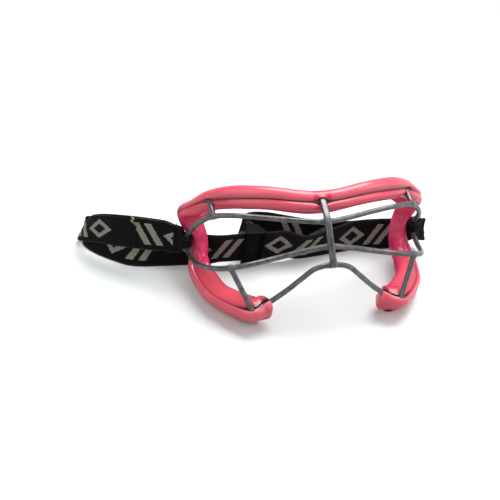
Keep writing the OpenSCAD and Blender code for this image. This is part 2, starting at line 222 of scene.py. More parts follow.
@dataclass
class Skin:
    """A surface on a grid of rings, in guard millimetres, with a cap on each end ring.

    Attributes:
        rings: Points as (ring, place on the ring, xyz), anticlockwise seen with the path
            coming towards the viewer.
        lay: Cloth coordinates as (ring, place on the ring + 1, 2) in metres, or None.
    """

    rings: np.ndarray
    lay: np.ndarray | None = None

    def faces(self) -> tuple[np.ndarray, np.ndarray]:
        """The surface's faces, as numbers of points.

        Returns:
            The quads between the rings, and the two caps.
        """
        n, m, _ = self.rings.shape
        i, j = np.arange(n - 1)[:, None] * m, np.arange(m)[None, :]
        k = (j + 1) % m
        quads = np.stack([i + j, i + k, i + m + k, i + m + j], axis=-1).reshape(-1, 4)
        return quads, np.stack([np.arange(m)[::-1], np.arange((n - 1) * m, n * m)])

    def corner_lay(self) -> np.ndarray:
        """The cloth coordinates of every corner of every face.

        Returns:
            Those of the quads, then zeros for the caps.
        """
        n, m, _ = self.rings.shape
        u = np.zeros((n, m + 1, 2)) if self.lay is None else self.lay
        quads = np.stack([u[:-1, :-1], u[:-1, 1:], u[1:, 1:], u[1:, :-1]], axis=2)
        return np.vstack([quads.reshape(-1, 2), np.zeros((2 * m, 2))])


def make_piece(name: str, skins: list[Skin], finish: Finish, sharp: float = 50.0
               ) -> bpy.types.Object:
    """Puts skins into a mesh object with its origin at the shared origin.

    Args:
        name: The piece's name.
        skins: The surfaces that make it up.
        finish: Its material and slot.
        sharp: Edges sharper than this angle stay sharp.

    Returns:
        The new object, which rides on nothing yet.
    """
    faces, start = [], 0
    for skin in skins:
        for kind in skin.faces():
            faces += (kind + start).tolist()
        start += skin.rings.shape[0] * skin.rings.shape[1]
    points = to_row(np.vstack([skin.rings.reshape(-1, 3) for skin in skins]))
    lay = np.vstack([skin.corner_lay() for skin in skins])
    mesh = bpy.data.meshes.new(name)
    mesh.from_pydata(points.tolist(), [], faces)
    mesh.uv_layers.new(name="Lay").data.foreach_set("uv", lay.ravel())
    mesh.polygons.foreach_set("use_smooth", np.ones(len(mesh.polygons), bool))
    mesh.validate()
    mesh.update()
    mesh.set_sharp_from_angle(angle=math.radians(sharp))
    mesh.materials.append(finish.material)
    piece = bpy.data.objects.new(name, mesh)
    bpy.context.scene.collection.objects.link(piece)
    return piece


def seat(piece: bpy.types.Object, body: Body, *nodes: str) -> None:
    """Rides a piece on a body, in place of CAD nodes, and reports it.

    Args:
        piece: The piece.
        body: The body that it moves with.
        nodes: The nodes that it stands for, if any.
    """
    if nodes:
        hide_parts(*nodes)
    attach(piece, body.value)
    log.info("%s rides on %s for %s", piece.name, body.value, ", ".join(nodes) or "its looks")


# Finishes


def linear(hex_colour: str) -> tuple[float, ...]:
    """An sRGB hex colour as linear red, green and blue, with an alpha of 1."""
    channels = [int(hex_colour[k:k + 2], 16) / 255 for k in (1, 3, 5)]
    return *(c / 12.92 if c <= 0.04045 else ((c + 0.055) / 1.055) ** 2.4 for c in channels), 1.0


def plug(node: bpy.types.Node, inputs: dict | Iterable) -> None:
    """Sets or links the inputs of a node.

    Args:
        node: The node.
        inputs: By the sockets' names or in their order, plain values, sockets to link, or
            nodes, which stand for their first output in use.
    """
    for key, value in inputs.items() if isinstance(inputs, dict) else enumerate(inputs):
        if isinstance(value, bpy.types.Node):
            value = next(output for output in value.outputs if output.enabled)
        if isinstance(value, bpy.types.NodeSocket):
            node.id_data.links.new(value, node.inputs[key])
        else:
            node.inputs[key].default_value = value


def add(tree: bpy.types.NodeTree, kind: str, inputs: dict | Iterable = (),
        stops: Iterable[tuple[float, str]] = (), **settings: object) -> bpy.types.Node:
    """Adds a node with its settings and links.

    Args:
        tree: The node tree.
        kind: The node's type, without the ShaderNode prefix.
        inputs: Its inputs, as plug takes them.
        stops: The places and hex colours of its ramp, if it has one.
        settings: Its properties.

    Returns:
        The node.
    """
    node = tree.nodes.new("ShaderNode" + kind)
    for key, value in settings.items():
        setattr(node, key, value)
    for k, (place, colour) in enumerate(stops):
        stop = node.color_ramp.elements[k] if k < 2 else node.color_ramp.elements.new(place)
        stop.position, stop.color = place, linear(colour)
    plug(node, inputs)
    return node


class Finish(NamedTuple):
    """A material and the slot of the record that it belongs to."""

    material: bpy.types.Material
    slot: str

    @classmethod
    def start(cls, name: str, slot: str) -> Finish:
        """Starts a finish with a plain shader.

        Args:
            name: The material's name.
            slot: The slot that it belongs to.

        Returns:
            The finish.
        """
        material = bpy.data.materials.new(name)
        material.use_nodes = True
        return cls(material, slot)

    def shade(self, inputs: dict) -> Finish:
        """Sets or links the shader's inputs."""
        plug(self.material.node_tree.nodes["Principled BSDF"], inputs)
        return self


@dataclass(frozen=True)
class CoatedSteelWire:
    """Bent steel wire under a thin cool grey coating.

    The coating is dipped and baked, so it is satin with a slim long highlight, rounds off the
    welds and has a faint orange peel about 0.6 mm across.
    """

    light: str = "#6c6e6e"
    dark: str = "#3d4042"
    peel_mm: float = 0.6

    def finish(self) -> Finish:
        """Builds the finish.

        Returns:
            The material and its slot.
        """
        coat = Finish.start("Baked grey coating on steel wire", "wire_coating")
        tree = coat.material.node_tree
        place = add(tree, "TexCoord").outputs["Object"]
        cloud = add(tree, "TexNoise", {"Vector": place, "Scale": 260.0, "Detail": 4.0})
        peel = add(tree, "TexNoise", {"Vector": place, "Scale": 1000 / self.peel_mm,
                                      "Detail": 1.0})
        return coat.shade({
            "Base Color": add(tree, "ValToRGB", [cloud], [(0.3, self.dark), (0.7, self.light)]),
            "Roughness": add(tree, "MapRange", [cloud, 0.0, 1.0, 0.26, 0.42]),
            "Normal": add(tree, "Bump", {"Height": peel, "Strength": 0.12, "Distance": 0.0001}),
            "Metallic": 0.45, "Coat Weight": 0.6, "Coat Roughness": 0.07})


@dataclass(frozen=True)
class MouldedSilicone:
    """Soft pink silicone from a polished mould.

    It lets a little light in, so thin edges and shaded walls glow warmer, and its surface is
    smooth, with broad soft highlights and a very fine skin. Light and shade are also painted into
    its colour: painted shade, deeper and hotter pink, in the slit, on the inner wall, on the face
    side and on the inner lobe all round the temples, and a painted highlight, a lighter pink, on
    the outer lobe's crest. At the bridge of the nose the outer lobe's front is a deeper red patch.
    """

    # Painted highlight: the outer lobe's crest is painted a lighter pink than the body.
    crest_painted_highlight: str = "#ee6a7a"
    body: str = "#e8596c"
    # Painted shade: the inner wall, which faces the eye opening, is painted a hotter, deeper pink
    # for the shade and bounced light there.
    inner_wall_painted_shade: str = "#ea3a70"
    # Painted shade: the face side, under and behind the pad, is painted darker than the body.
    face_side_painted_shade: str = "#d8455f"
    # Painted shade: the slit's walls and the groove round the wire are painted a dark crimson.
    slit: str = "#741128"
    # A deeper red patch on the outer lobe's front at the middle of the pad.
    bridge: str = "#dc3d55"
    skin_mm: float = 0.5
    # Distances along the pad from its middle, in metres: the bridge's edge and the temples, where
    # painted shade turns the inner lobe to the inner wall's hotter pink.
    bridge_edge = (0.0056, 0.0066)
    temple_start = (0.088, 0.102)
    temple_end = (0.126, 0.150)

    def round_the_pad(self, lobe: str) -> list[tuple[float, str]]:
        """Colours round the section, from the inner lobe, which is lobe, by the face side, with
        painted shade on the inner wall, face side and slit and a painted highlight on the crest.
        """
        return [(0.0, lobe), (0.03, lobe), (0.065, self.inner_wall_painted_shade),
                (0.24, self.inner_wall_painted_shade), (0.29, self.face_side_painted_shade), (0.36, self.face_side_painted_shade),
                (0.43, self.body), (0.5, self.crest_painted_highlight), (0.545, self.body), (0.575, self.slit),
                (0.93, self.slit), (0.96, lobe), (1.0, lobe)]

    def finish(self) -> Finish:
        """Builds the finish. The Lay map holds metres from the bridge and the ring's place.

        Returns:
            The material and its slot.
        """
        soft = Finish.start("Moulded pink silicone", "pad")
        tree = soft.material.node_tree
        place = add(tree, "TexCoord").outputs["Object"]
        lay = add(tree, "SeparateXYZ", [add(tree, "UVMap", uv_map="Lay")])
        round_the_ring = lay.outputs["Y"]
        far = add(tree, "Math", [lay.outputs["X"]], operation="ABSOLUTE")
        # Painted shade: towards the temples the inner lobe takes the inner wall's hotter pink.
        ends = [add(tree, "MapRange", [far, *span], interpolation_type="SMOOTHSTEP")
                for span in (self.temple_start, self.temple_end)]
        colours = [add(tree, "ValToRGB", [round_the_ring], self.round_the_pad(lobe))
                   for lobe in (self.body, self.inner_wall_painted_shade)]
        pink_with_painted_shade = add(tree, "Mix", {"Factor": add(tree, "Math", ends, operation="SUBTRACT"),
                                    "A": colours[0], "B": colours[1]}, data_type="RGBA")
        middle = add(tree, "MapRange", [far, *self.bridge_edge, 1.0, 0.0])
        front = add(tree, "Math", [round_the_ring, 0.49, 0.075], operation="COMPARE")
        patch = add(tree, "Math", [middle, front], operation="MULTIPLY")
        tone = add(tree, "Mix", {"Factor": patch, "A": pink_with_painted_shade, "B": linear(self.bridge)},
                   data_type="RGBA")
        cloud = add(tree, "TexNoise", {"Vector": place, "Scale": 45.0, "Detail": 2.0})
        mottle = add(tree, "MapRange", [cloud, 0.2, 0.8, 0.95, 1.05])
        skin = add(tree, "TexNoise", {"Vector": place, "Scale": 1000 / self.skin_mm,
                                      "Detail": 2.0})
        return soft.shade({
            "Base Color": add(tree, "VectorMath", [tone, mottle], operation="MULTIPLY"),
            "Roughness": add(tree, "MapRange", [cloud, 0.0, 1.0, 0.18, 0.3]),
            "Normal": add(tree, "Bump", {"Height": skin, "Strength": 0.08, "Distance": 0.0001}),
            "Subsurface Weight": 0.3, "Subsurface Radius": (1.0, 0.22, 0.26),
            "Subsurface Scale": 0.003, "IOR": 1.43, "Coat Weight": 0.35, "Coat Roughness": 0.07})


class Motif(Enum):
    """Shapes woven into the strap."""

    BAR = "slanted bar"
    DIAMOND = "diamond outline"


@dataclass(frozen=True)
class WovenElastic:
    """Black elastic webbing with a light pattern woven in.

    Rubber cores under polyester make fine ribs across it, 1.1 mm apart. The pattern is woven
    pick by pick, so its edges are stepped. A painted highlight, a thin lighter line, runs along
    each of the two turned selvedges.

    Attributes:
        motifs: Shape, middle along the strap, thickness and half the width of each light shape
            of the repeat.
    """

    ground: str = "#060609"
    thread: str = "#a09b8e"
    # Painted highlight: a lighter line along each selvedge.
    selvedge_painted_highlight: str = "#201f28"
    width: float = STRAP_WIDTH
    repeat: float = 54.7
    rib: float = 1.1
    course: float = 0.9
    pick: tuple[float, float] = (0.55, 0.8)
    slant: float = 0.5
    diamond_l: float = 10.0
    motifs: tuple[tuple[Motif, float, float, float], ...] = (
        (Motif.DIAMOND, 11.5, 4.2, 8.8), (Motif.BAR, 27.6, 4.4, 8.6), (Motif.BAR, 35.4, 4.4, 8.6))

    def sums(self) -> list[tuple]:
        """The pattern as sums, each a name, an operation, and numbers or names known before it.

        With w measured from the middle of the strap, a bar is the strip where u - slant * w
        stays near its middle and |w| below its half width. The diamond is the band where
        |u - middle| / diamond_l + |w| / half width lies between 1 - thick / half width and 1.
        A name that comes again stands for the newer sum from there on.

        Returns:
            The sums in order. The light shapes are 1 in light, the selvedges, where a highlight is
            painted, 1 in edge, and ribs and knit make up the relief in height and the shade in
            shade.
        """
        half = self.width / 2
        sums = [
            ("u", "MULTIPLY", "lay_u", 1000.0),
            ("v", "MULTIPLY", "lay_v", 1000.0),
            ("v", "FLOORED_MODULO", "v", 2 * self.width),
            ("pick_u", "SNAP", "u", self.pick[0]),
            ("w", "SNAP", "v", self.pick[1]),
            ("w", "SUBTRACT", "w", half),
            ("off", "ABSOLUTE", "w"),
            ("slid", "MULTIPLY", "w", self.slant),
            ("slid", "SUBTRACT", "pick_u", "slid"),
            ("bar_u", "FLOORED_MODULO", "slid", self.repeat),
            ("diamond_u", "FLOORED_MODULO", "pick_u", self.repeat),
        ]
        for motif, middle, thick, half_w in self.motifs:
            if motif is Motif.BAR:
                sums += [
                    ("strip", "COMPARE", "bar_u", middle, thick / 2),
                    ("kept", "LESS_THAN", "off", half_w),
                    ("shape", "MULTIPLY", "strip", "kept"),
                ]
            else:
                band = thick / half_w / 2
                sums += [
                    ("far", "SUBTRACT", "diamond_u", middle),
                    ("far", "ABSOLUTE", "far"),
                    ("far", "DIVIDE", "far", self.diamond_l),
                    ("level", "DIVIDE", "off", half_w),
                    ("level", "ADD", "far", "level"),
                    ("shape", "COMPARE", "level", 1 - band, band),
                ]
            sums.append(("light", "MAXIMUM", "light", "shape"))
        return sums + [
            ("out", "SUBTRACT", "v", half),
            ("out", "ABSOLUTE", "out"),
            ("edge", "COMPARE", "out", half, 0.9),
            ("ribs", "MULTIPLY", "u", 2 * math.pi / self.rib),
            ("ribs", "SINE", "ribs"),
            ("knit", "MULTIPLY", "v", 2 * math.pi / self.course),
            ("knit", "SINE", "knit"),
            ("weave", "MULTIPLY_ADD", "knit", 0.5, "ribs"),
            ("height", "MULTIPLY_ADD", "light", 0.6, "weave"),
            ("rib_shade", "MULTIPLY_ADD", "weave", 0.09, 0.9),
            ("worn", "MULTIPLY_ADD", "fuzz", 0.7, 0.62),
            ("shade", "MULTIPLY", "worn", "rib_shade"),
        ]

    def finish(self) -> Finish:
        """Builds the finish. The piece's Lay map holds metres along and across the strap.

        Returns:
            The material and its slot.
        """
        elastic = Finish.start("Woven elastic webbing", "webbing")
        tree = elastic.material.node_tree
        place = add(tree, "TexCoord").outputs["Object"]
        lay = add(tree, "SeparateXYZ", [add(tree, "UVMap", uv_map="Lay")])
        known = {"light": 0.0, "lay_u": lay.outputs["X"], "lay_v": lay.outputs["Y"],
                 "fuzz": add(tree, "TexNoise", {"Vector": place, "Scale": 900.0, "Detail": 3.0})}
        for name, operation, *values in self.sums():
            values = [known[value] if isinstance(value, str) else value for value in values]
            known[name] = add(tree, "Math", values, operation=operation)
        colour = linear(self.ground)
        # The selvedges take the painted highlight, the light shapes the thread.
        for mask, thread in (("edge", self.selvedge_painted_highlight), ("light", self.thread)):
            colour = add(tree, "Mix", {"Factor": known[mask], "A": colour, "B": linear(thread)},
                         data_type="RGBA")
        return elastic.shade({
            "Base Color": add(tree, "VectorMath", [colour, known["shade"]],
                              operation="MULTIPLY"),
            "Normal": add(tree, "Bump", {"Height": known["height"], "Strength": 0.4,
                                         "Distance": 0.00014}),
            "Roughness": 0.85, "Sheen Weight": 0.02, "Sheen Roughness": 0.4,
            "Specular IOR Level": 0.18})


@dataclass(frozen=True)
class SatinAcetal:
    """Injection-moulded black acetal with a satin face that hardly mirrors the lamps."""

    black: str = "#030304"
    scuffed: str = "#08080a"

    def finish(self) -> Finish:
        """Builds the finish.

        Returns:
            The material and its slot.
        """
        acetal = Finish.start("Satin black acetal", "slide")
        tree = acetal.material.node_tree
        scuff = add(tree, "TexNoise", {"Vector": add(tree, "TexCoord").outputs["Object"],
                                       "Scale": 350.0, "Detail": 4.0, "Distortion": 1.5})
        return acetal.shade({
            "Base Color": add(tree, "ValToRGB", [scuff],
                              [(0.3, self.black), (0.8, self.scuffed)]),
            "Roughness": add(tree, "MapRange", [scuff, 0.0, 1.0, 0.34, 0.55]),
            "IOR": 1.48, "Specular IOR Level": 0.04})


@dataclass(frozen=True)
class BondedThread:
    """Twisted polyester sewing thread: a light twist shows as slanted ridges 0.5 mm apart."""

    name: str = "Cream polyester thread"
    colour: str = "#b3a688"
    shade: str = "#7d7260"

    def finish(self) -> Finish:
        """Builds the finish.

        Returns:
            The material and its slot.
        """
        thread = Finish.start(self.name, "webbing")
        tree = thread.material.node_tree
        twist = add(tree, "TexWave", {"Vector": add(tree, "TexCoord").outputs["Object"],
                                      "Scale": 320.0, "Distortion": 1.0}).outputs["Fac"]
        return thread.shade({
            "Base Color": add(tree, "ValToRGB", [twist], [(0.1, self.shade), (0.8, self.colour)]),
            "Normal": add(tree, "Bump", {"Height": twist, "Strength": 0.4, "Distance": 0.0001}),
            "Roughness": 0.7, "Sheen Weight": 0.02, "Specular IOR Level": 0.2})


# The welded wire guard


@dataclass
class WireGuard:
    """The cage: rim, nose arch, two eye wires, centre bar, struts and temple bars.

    The tables hold the right half of each wire, from the mid-plane outwards.

    Attributes:
        wire_r: Radius of every wire and rod.
        bar_x: A temple bar's distance from the mid-plane; bar_y and bar_z place its middle.
        bar_l: Straight length of a temple bar.
        centre_w: Width of the centre bar, and centre_t its thickness.
        centre_sink: How deep the centre bar is pressed into the wires.
        centre_foot: How far it runs on past the nose wire.
        weld_lift: How far the centre bar's welds stand out from the wires' middles.
    """

    wire_r: float = 1.65
    bar_x: float = 77.2
    bar_y: float = 36.0
    bar_z: float = 27.0
    bar_l: float = 8.0
    centre_w: float = 4.0
    centre_t: float = 2.8
    centre_sink: float = 0.2
    centre_foot: float = 2.5
    weld_lift: float = 0.35

    rim_bends = np.array([
        [0, 12.4, 67.1], [13.2, 12.7, 68.1], [32, 16.8, 68.9], [51.6, 25, 65.1],
        [64.8, 33.9, 59.1], [73.5, 38.5, 52.5], [78.6, 42, 45], [76.5, 42.5, 37.5],
        [71.8, 39.6, 30], [70.6, 37.4, 22.5], [71.4, 33.5, 15.5], [72.6, 24, 11],
        [69, 3, 10.5], [63, -9, 11.5], [55.5, -18.5, 13], [47.5, -24.9, 15.3]])
    nose_bends = np.array([
        [40.5, -21.6, 16.9], [35, -21.2, 20.2], [26, -21.4, 27.9], [18, -21.3, 35.5],
        [10.3, -21, 41.9], [0, -21.1, 44]])
    upper_bends = np.array([
        [0, -0.5, 61.5], [15, 3, 60.7], [33, 9.3, 59.7], [52.8, 14.7, 59.2], [65, 20.6, 55.5],
        [72, 24.5, 49], [76, 29, 41]])
    lower_bends = np.array([
        [0, -12.3, 51.3], [16, -10.7, 47.6], [33.7, -9.7, 42.9], [52.2, -10, 39.5],
        [65, -4.5, 34.5], [72, 8, 27.5], [75.4, 21, 23]])

    # Where the centre bar crosses each wire (y, z), and the way out from the wire there.
    crossed = ("rim_wire", "upper_eye_wire", "lower_eye_wire", "nose_wire")
    bar_line = np.array([[12.4, 67.1], [-0.5, 61.5], [-12.3, 51.3], [-21.1, 44]])
    bar_out = unit(np.array([[-0.35, 0.94], [-0.57, 0.82], [-0.65, 0.76], [-0.64, 0.77]]))

    # The rods of one side, each between two spots, and its welds: line, spot and height.
    rods = {"brow_strut": ("brow", "upper"), "cheek_strut": ("lower", "corner"),
            "temple_bar": ("foot", "top")}
    welds = (
        ("rim_wire", "brow", 0.5), ("brow_strut", "brow", 0.6), ("upper_eye_wire", "upper", 0.5),
        ("brow_strut", "upper", 0.6), ("lower_eye_wire", "lower", 0.5),
        ("cheek_strut", "lower", 0.6), ("rim_wire", "corner", 0.5), ("nose_wire", "corner", 0.5),
        ("cheek_strut", "corner", 0.6), ("upper_eye_wire", "top", 0.15),
        ("lower_eye_wire", "foot", 0.15), ("temple_bar", "top", 0.15),
        ("temple_bar", "foot", 0.15))

    @property
    def guard_bends(self) -> np.ndarray:
        """The rim's and the nose arch's bends as one table."""
        return np.vstack([self.rim_bends, self.nose_bends])

    @property
    def spots(self) -> dict[str, np.ndarray]:
        """Where the rods of the right half end."""
        middle, half = np.array([self.bar_x, self.bar_y, self.bar_z]), UP * self.bar_l / 2
        return {"brow": self.rim_bends[4], "upper": self.upper_bends[4],
                "lower": read_rows(self.lower_bends, np.array([3.5]))[0],
                "corner": self.rim_bends[-1], "foot": middle - half, "top": middle + half}

    def wires(self) -> dict[str, np.ndarray]:
        """The centre lines of the four long wires.

        Rim and nose arch are one closed curve, cut at the cheek corners. An eye wire runs from
        one temple bar to the other.

        Returns:
            Points along each wire, by node.
        """
        bends, last, corner = self.guard_bends, len(self.guard_bends) - 1, len(self.rim_bends) - 1
        rows = np.vstack([bends[-2], both_halves(bends), bends[-2] * MIRROR])
        cuts = 1 + last - corner, 1 + last + corner
        right = read_rows(rows, along(cuts[1], 1 + 2 * last, 12))
        left = read_rows(rows, along(1, cuts[0], 12))
        lines = {"rim_wire": read_rows(rows, along(*cuts, 9)),
                 "nose_wire": np.vstack([right, left[1:]])}
        for node, half, spot in (("upper_eye_wire", self.upper_bends, "top"),
                                 ("lower_eye_wire", self.lower_bends, "foot")):
            end = self.spots[spot]
            rows = np.vstack([end * MIRROR, both_halves(half), end])
            lines[node] = read_rows(rows, along(0, len(rows) - 1, 10))
        return lines

    def centre_line(self, per_row: int = 12) -> tuple[np.ndarray, np.ndarray]:
        """The middle of the centre bar, which lies on the wires.

        Args:
            per_row: Points for each wire that it crosses.

        Returns:
            Points along it, and the directions out of its back there.
        """
        foot = self.bar_line[-1] + self.centre_foot * unit(self.bar_line[-1] - self.bar_line[-2])
        lift = self.wire_r - self.centre_sink + self.centre_t / 2
        side = np.vstack([self.bar_line + lift * self.bar_out, foot + lift * self.bar_out[-1]])
        curve = read_rows(side, along(0, len(side) - 1, per_row))
        path = np.hstack([np.zeros((len(curve), 1)), curve])
        return path, np.cross(tangents(path), -ACROSS)

    def centre_rings(self) -> np.ndarray:
        """The centre bar: a flat section with rounded long edges, eased in at both ends.

        The section is a superellipse |x/a|^4 + |y/b|^4 = 1, and over the last 0.9 mm of each
        end it shrinks as a quarter round to a little over half its size.

        Returns:
            Points as (ring, place on the ring, xyz).
        """
        path, out = self.centre_line()
        a = 2 * math.pi * np.arange(40) / 40
        x, y = (np.sign(f) * np.abs(f) ** 0.5 * size / 2
                for f, size in ((-np.cos(a), self.centre_w), (np.sin(a), self.centre_t)))
        run = run_lengths(path)
        near = np.clip(np.minimum(run, run[-1] - run) / 0.9, 0.02, 1)
        size = (0.55 + 0.45 * np.sqrt(1 - (1 - near) ** 2))[:, None, None]
        return path[:, None] + size * (x[:, None] * ACROSS + y[:, None] * out[:, None])

    def fillet(self, path: np.ndarray, at: np.ndarray, height: float, spread: float = 1.9,
               reach: float = 5.0) -> Skin:
        """A sleeve of weld and coating round a wire, thickest at a weld.

        At a distance s from the weld its radius is wire_r + height * exp(-(s / spread)^2), and
        its line bends halfway over to the weld as exp(-(s / 2)^2).

        Args:
            path: The wire's centre line.
            at: The middle of the weld.
            height: How much thicker than the wire it is there.
            spread: How far the weld has run out.
            reach: Half the length of the sleeve.

        Returns:
            The sleeve.
        """
        run = run_lengths(path)
        centre = run[np.argmin(np.linalg.norm(path - at, axis=1))]
        where = np.linspace(max(centre - reach, 0), min(centre + reach, run[-1]), 31)
        line, s = read_along(where, run, path), where - centre
        bend = 0.5 * np.exp(-((s / 2) ** 2))[:, None]
        line = line + (at - line[np.argmin(np.abs(s))]) * bend
        radius = self.wire_r - 0.015 + height * np.exp(-((s / spread) ** 2))
        return Skin(round_rings(line, radius, np.array([0.3, 0.1, 1.0]), 24))

    def build(self, steel: Finish) -> None:
        """Makes every wire and its welds.

        Args:
            steel: Their finish.
        """
        wires = self.wires()
        shapes = {node: round_rings(path, self.wire_r, UP + 0.05 * ACROSS)
                  for node, path in wires.items()}
        for node, rings in (shapes | {"centre_bar": self.centre_rings()}).items():
            seat(make_piece(node + "_coated", [Skin(rings)], steel), Body.GUARD, node)
        for side in Side:
            self.build_side(steel, side, dict(wires))
        welds = [self.fillet(wires[node], np.append(0.0, at + self.weld_lift * out), 0.5,
                             spread=2.9, reach=6.5)
                 for node, at, out in zip(self.crossed, self.bar_line, self.bar_out)]
        seat(make_piece("centre_bar_welds", welds, steel), Body.GUARD)

    def build_side(self, steel: Finish, side: Side, lines: dict[str, np.ndarray]) -> None:
        """Makes the struts, the temple bar and the welds of one side.

        Args:
            steel: Their finish.
            side: The side.
            lines: The centre lines of the long wires, to which those of the rods are added.
        """
        guide = np.array([1.0, 0.2, 0.1])
        spots = {name: spot * side.flip for name, spot in self.spots.items()}
        for rod, (a, b) in self.rods.items():
            node = f"{side.word}_{rod}"
            lines[rod] = spots[a] + (spots[b] - spots[a]) * np.linspace(0, 1, 24)[:, None]
            skin = Skin(round_rings(lines[rod], self.wire_r, guide))
            seat(make_piece(node + "_coated", [skin], steel), Body.GUARD, node)
        skins = [self.fillet(lines[line], spots[spot], height) for line, spot, height in self.welds]
        skins += [Skin(ball_rings(spots[end], self.wire_r + 0.13, guide))
                  for end in ("top", "foot")]
        seat(make_piece(f"{side.word}_weld_fillets", skins, steel), Body.GUARD,
             f"{side.word}_weld_beads")


# The moulded face pad


@dataclass
class FacePad:
    """One soft moulding that grips the rim wire in a slit between two lobes.

    Attributes:
        guard: The wires that it holds.
        groove_r: Radius of the groove round the wire.
        clear: Clearance round every rod.
        per_row: Rings for each bend, and per_point points for each point of the section.
        end_push: How far an end bulges past its last ring.
        end_core: Radius round the wire that keeps its size where an end closes.
        rows: For each bend of the guard, the direction of the inner lobe, the reach of the outer
            and of the inner lobe, how far the face flange reaches past the inner lobe and how
            far in it starts, its depth behind the wire, the lobes' height and the slit's width.
        openings: Where rods come out of the slit they press it open: row, extra width, reach.
    """

    guard: WireGuard
    groove_r: float = 2.5
    clear: float = 0.35
    per_row: int = 11
    per_point: int = 5
    end_push: float = 4.6
    end_core: float = 2.9

    rows = np.array([
        [0, -0.55, -0.84, 7, 6.4, 1, 0, 12, 3.2, 1],
        [0, -0.55, -0.84, 7, 6.4, 1, 0, 12, 3.2, 1],
        [0, -0.5, -0.86, 7.3, 6.8, 1, 0, 12, 3.2, 1],
        [-0.1, -0.45, -0.86, 7.6, 7, 1.5, 0, 12, 3.2, 1],
        [-0.3, -0.4, -0.85, 5.6, 7.6, 2, 0, 10, 3.2, 0.8],
        [-0.3, -0.66, -0.68, 3.8, 7.4, 1.5, 0.5, 9.5, 3.4, 0.3],
        [-0.15, -0.95, -0.28, 5.2, 4.2, 0, -1.5, 10.4, 3.5, 0.2],
        [-0.24, -0.94, 0.26, 5, 4, 0, -1.5, 10.4, 3.5, 0.15],
        [-0.58, -0.67, 0.46, 4.6, 4.6, 0, -1, 7.8, 3, 0.12],
        [-0.64, -0.7, 0.3, 4.8, 5, 0, -0.5, 7.8, 2.4, 0.12],
        [-0.8, -0.45, 0.39, 4.2, 8.6, -2.5, 0.5, 8, 3, 0.12],
        [-0.92, -0.15, 0.35, 4.2, 11, -5, 1.5, 10, 3.2, 0.12],
        [-0.95, 0.2, 0.25, 4, 12.6, -4.5, 3, 11.6, 3.2, 0.12],
        [-0.85, 0.48, 0.2, 3.2, 14, -3, 4.5, 13.4, 3.2, 0.3],
        [-0.7, 0.7, 0.14, 3.6, 15, -2, 6, 15.2, 3.2, 0.9],
        [-0.5, 0.84, 0.18, 4.2, 13, -1.5, 4.5, 14, 2.7, 2.4],
        [-0.3, 0.9, 0.2, 5, 8.8, 0, -0.8, 11.6, 3, 2.4],
        [-0.2, 0.9, 0.2, 5, 6.8, 0, -2, 9.6, 2.8, 2.4],
        [-0.2, 0.9, 0.2, 5, 6.8, 0, -2, 9.6, 2.8, 2.4]])
    openings = ((0, 2.9, 4.5), (4, 1.9, 3.2), (-4, 1.9, 3.2), (15, 1.2, 4), (-15, 1.2, 4))

    @property
    def last(self) -> int:
        """The number of the last row, which is the middle one of the whole table."""
        return len(self.rows) - 1

    def table(self) -> np.ndarray:
        """Bends and section sizes of the whole pad, from the left cheek end to the right."""
        half = np.hstack([self.guard.guard_bends[:len(self.rows)], self.rows])
        return both_halves(half, np.array([-1.0, 1, 1, -1] + [1] * 9))

    def places(self) -> np.ndarray:
        """Where the rings are, closer together at the centre bar and the struts.

        Returns:
            Their row numbers.
        """
        close = [self.last + np.linspace(-0.45, 0.45, 27)]
        close += [self.last + row + np.linspace(-0.5, 0.5, 17) for row, *_ in self.openings[1:]]
        base = along(1.95, 2 * self.last - 1.95, self.per_row)
        return np.unique(np.round(np.concatenate([base, *close]), 4))

    def section(self, table: np.ndarray, places: np.ndarray, run: np.ndarray) -> np.ndarray:
        """The keyhole section of every ring: places across the pad and behind the wire.

        Eighteen points run down one side of the slit, round the wire, up the other side, and
        back over outer lobe, face side and inner lobe. The slit's width grows by
        extra * exp(-(d / reach)^2) at a distance d from each rod.

        Args:
            table: The bends and sizes, read at every ring.
            places: The rings' row numbers.
            run: Their distances along the wire.

        Returns:
            Both places as (2, ring, point).
        """
        outer, inner, flange, tuck, depth, h, slit = table[:, 6:].T
        for row, extra, reach in self.openings:
            near = np.interp(self.last + row, places, run)
            slit = slit + extra * np.exp(-(((run - near) / reach) ** 2))
        m, g = slit / 2, np.full_like(outer, self.groove_r)
        neck = g * 0.84
        lip = np.maximum(h - 0.9, neck + 0.1)
        points = [
            (m, -lip), (m, -neck), (g * 0.9, -g * 0.3), (g * 0.6, g * 0.8), (-g * 0.6, g * 0.8),
            (-g * 0.9, -g * 0.3), (-m, -neck), (-m, -lip),
            (-np.maximum(outer * 0.42, m + 0.3), -h), (-outer * 0.84, -h * 0.55),
            (-outer, depth * 0.15), (tuck * 0.55 - outer * 0.62, depth * 0.65), (tuck, depth),
            (inner + flange - 1, depth), (inner + flange, depth * 0.8), (inner, depth * 0.3),
            (inner * 0.9, -h * 0.45), (np.maximum(inner * 0.45, m + 0.3), -h)]
        return np.array(points[::-1]).transpose(1, 2, 0)

    def rounded(self, values: np.ndarray) -> np.ndarray:
        """Values round a ring, read on a closed Catmull-Rom curve per_point times each."""
        around = (np.roll(values, k, axis=1)[:, :, None] for k in (1, 0, -1, -2))
        return catmull(*around, np.arange(self.per_point) / self.per_point).reshape(
            len(values), -1)

    def parted(self, points: np.ndarray, a: np.ndarray, b: np.ndarray) -> np.ndarray:
        """Silicone that gives way round a rod from a to b.

        A point at distance d from the rod moves straight out to (d^6 + r^6)^(1/6), with r the
        rod's radius, its clearance and 0.1 mm more.

        Args:
            points: The pad's points.
            a: One end of the rod.
            b: Its other end.

        Returns:
            The points, moved.
        """
        radius = self.guard.wire_r + self.clear + 0.1
        axis = b - a
        s = np.clip(np.sum((points - a) * axis, axis=-1) / np.dot(axis, axis), 0, 1)
        foot = a + s[..., None] * axis
        d = np.maximum(np.linalg.norm(points - foot, axis=-1), 0.05)
        return foot + (points - foot) * ((d**6 + radius**6) ** (1 / 6) / d)[..., None]

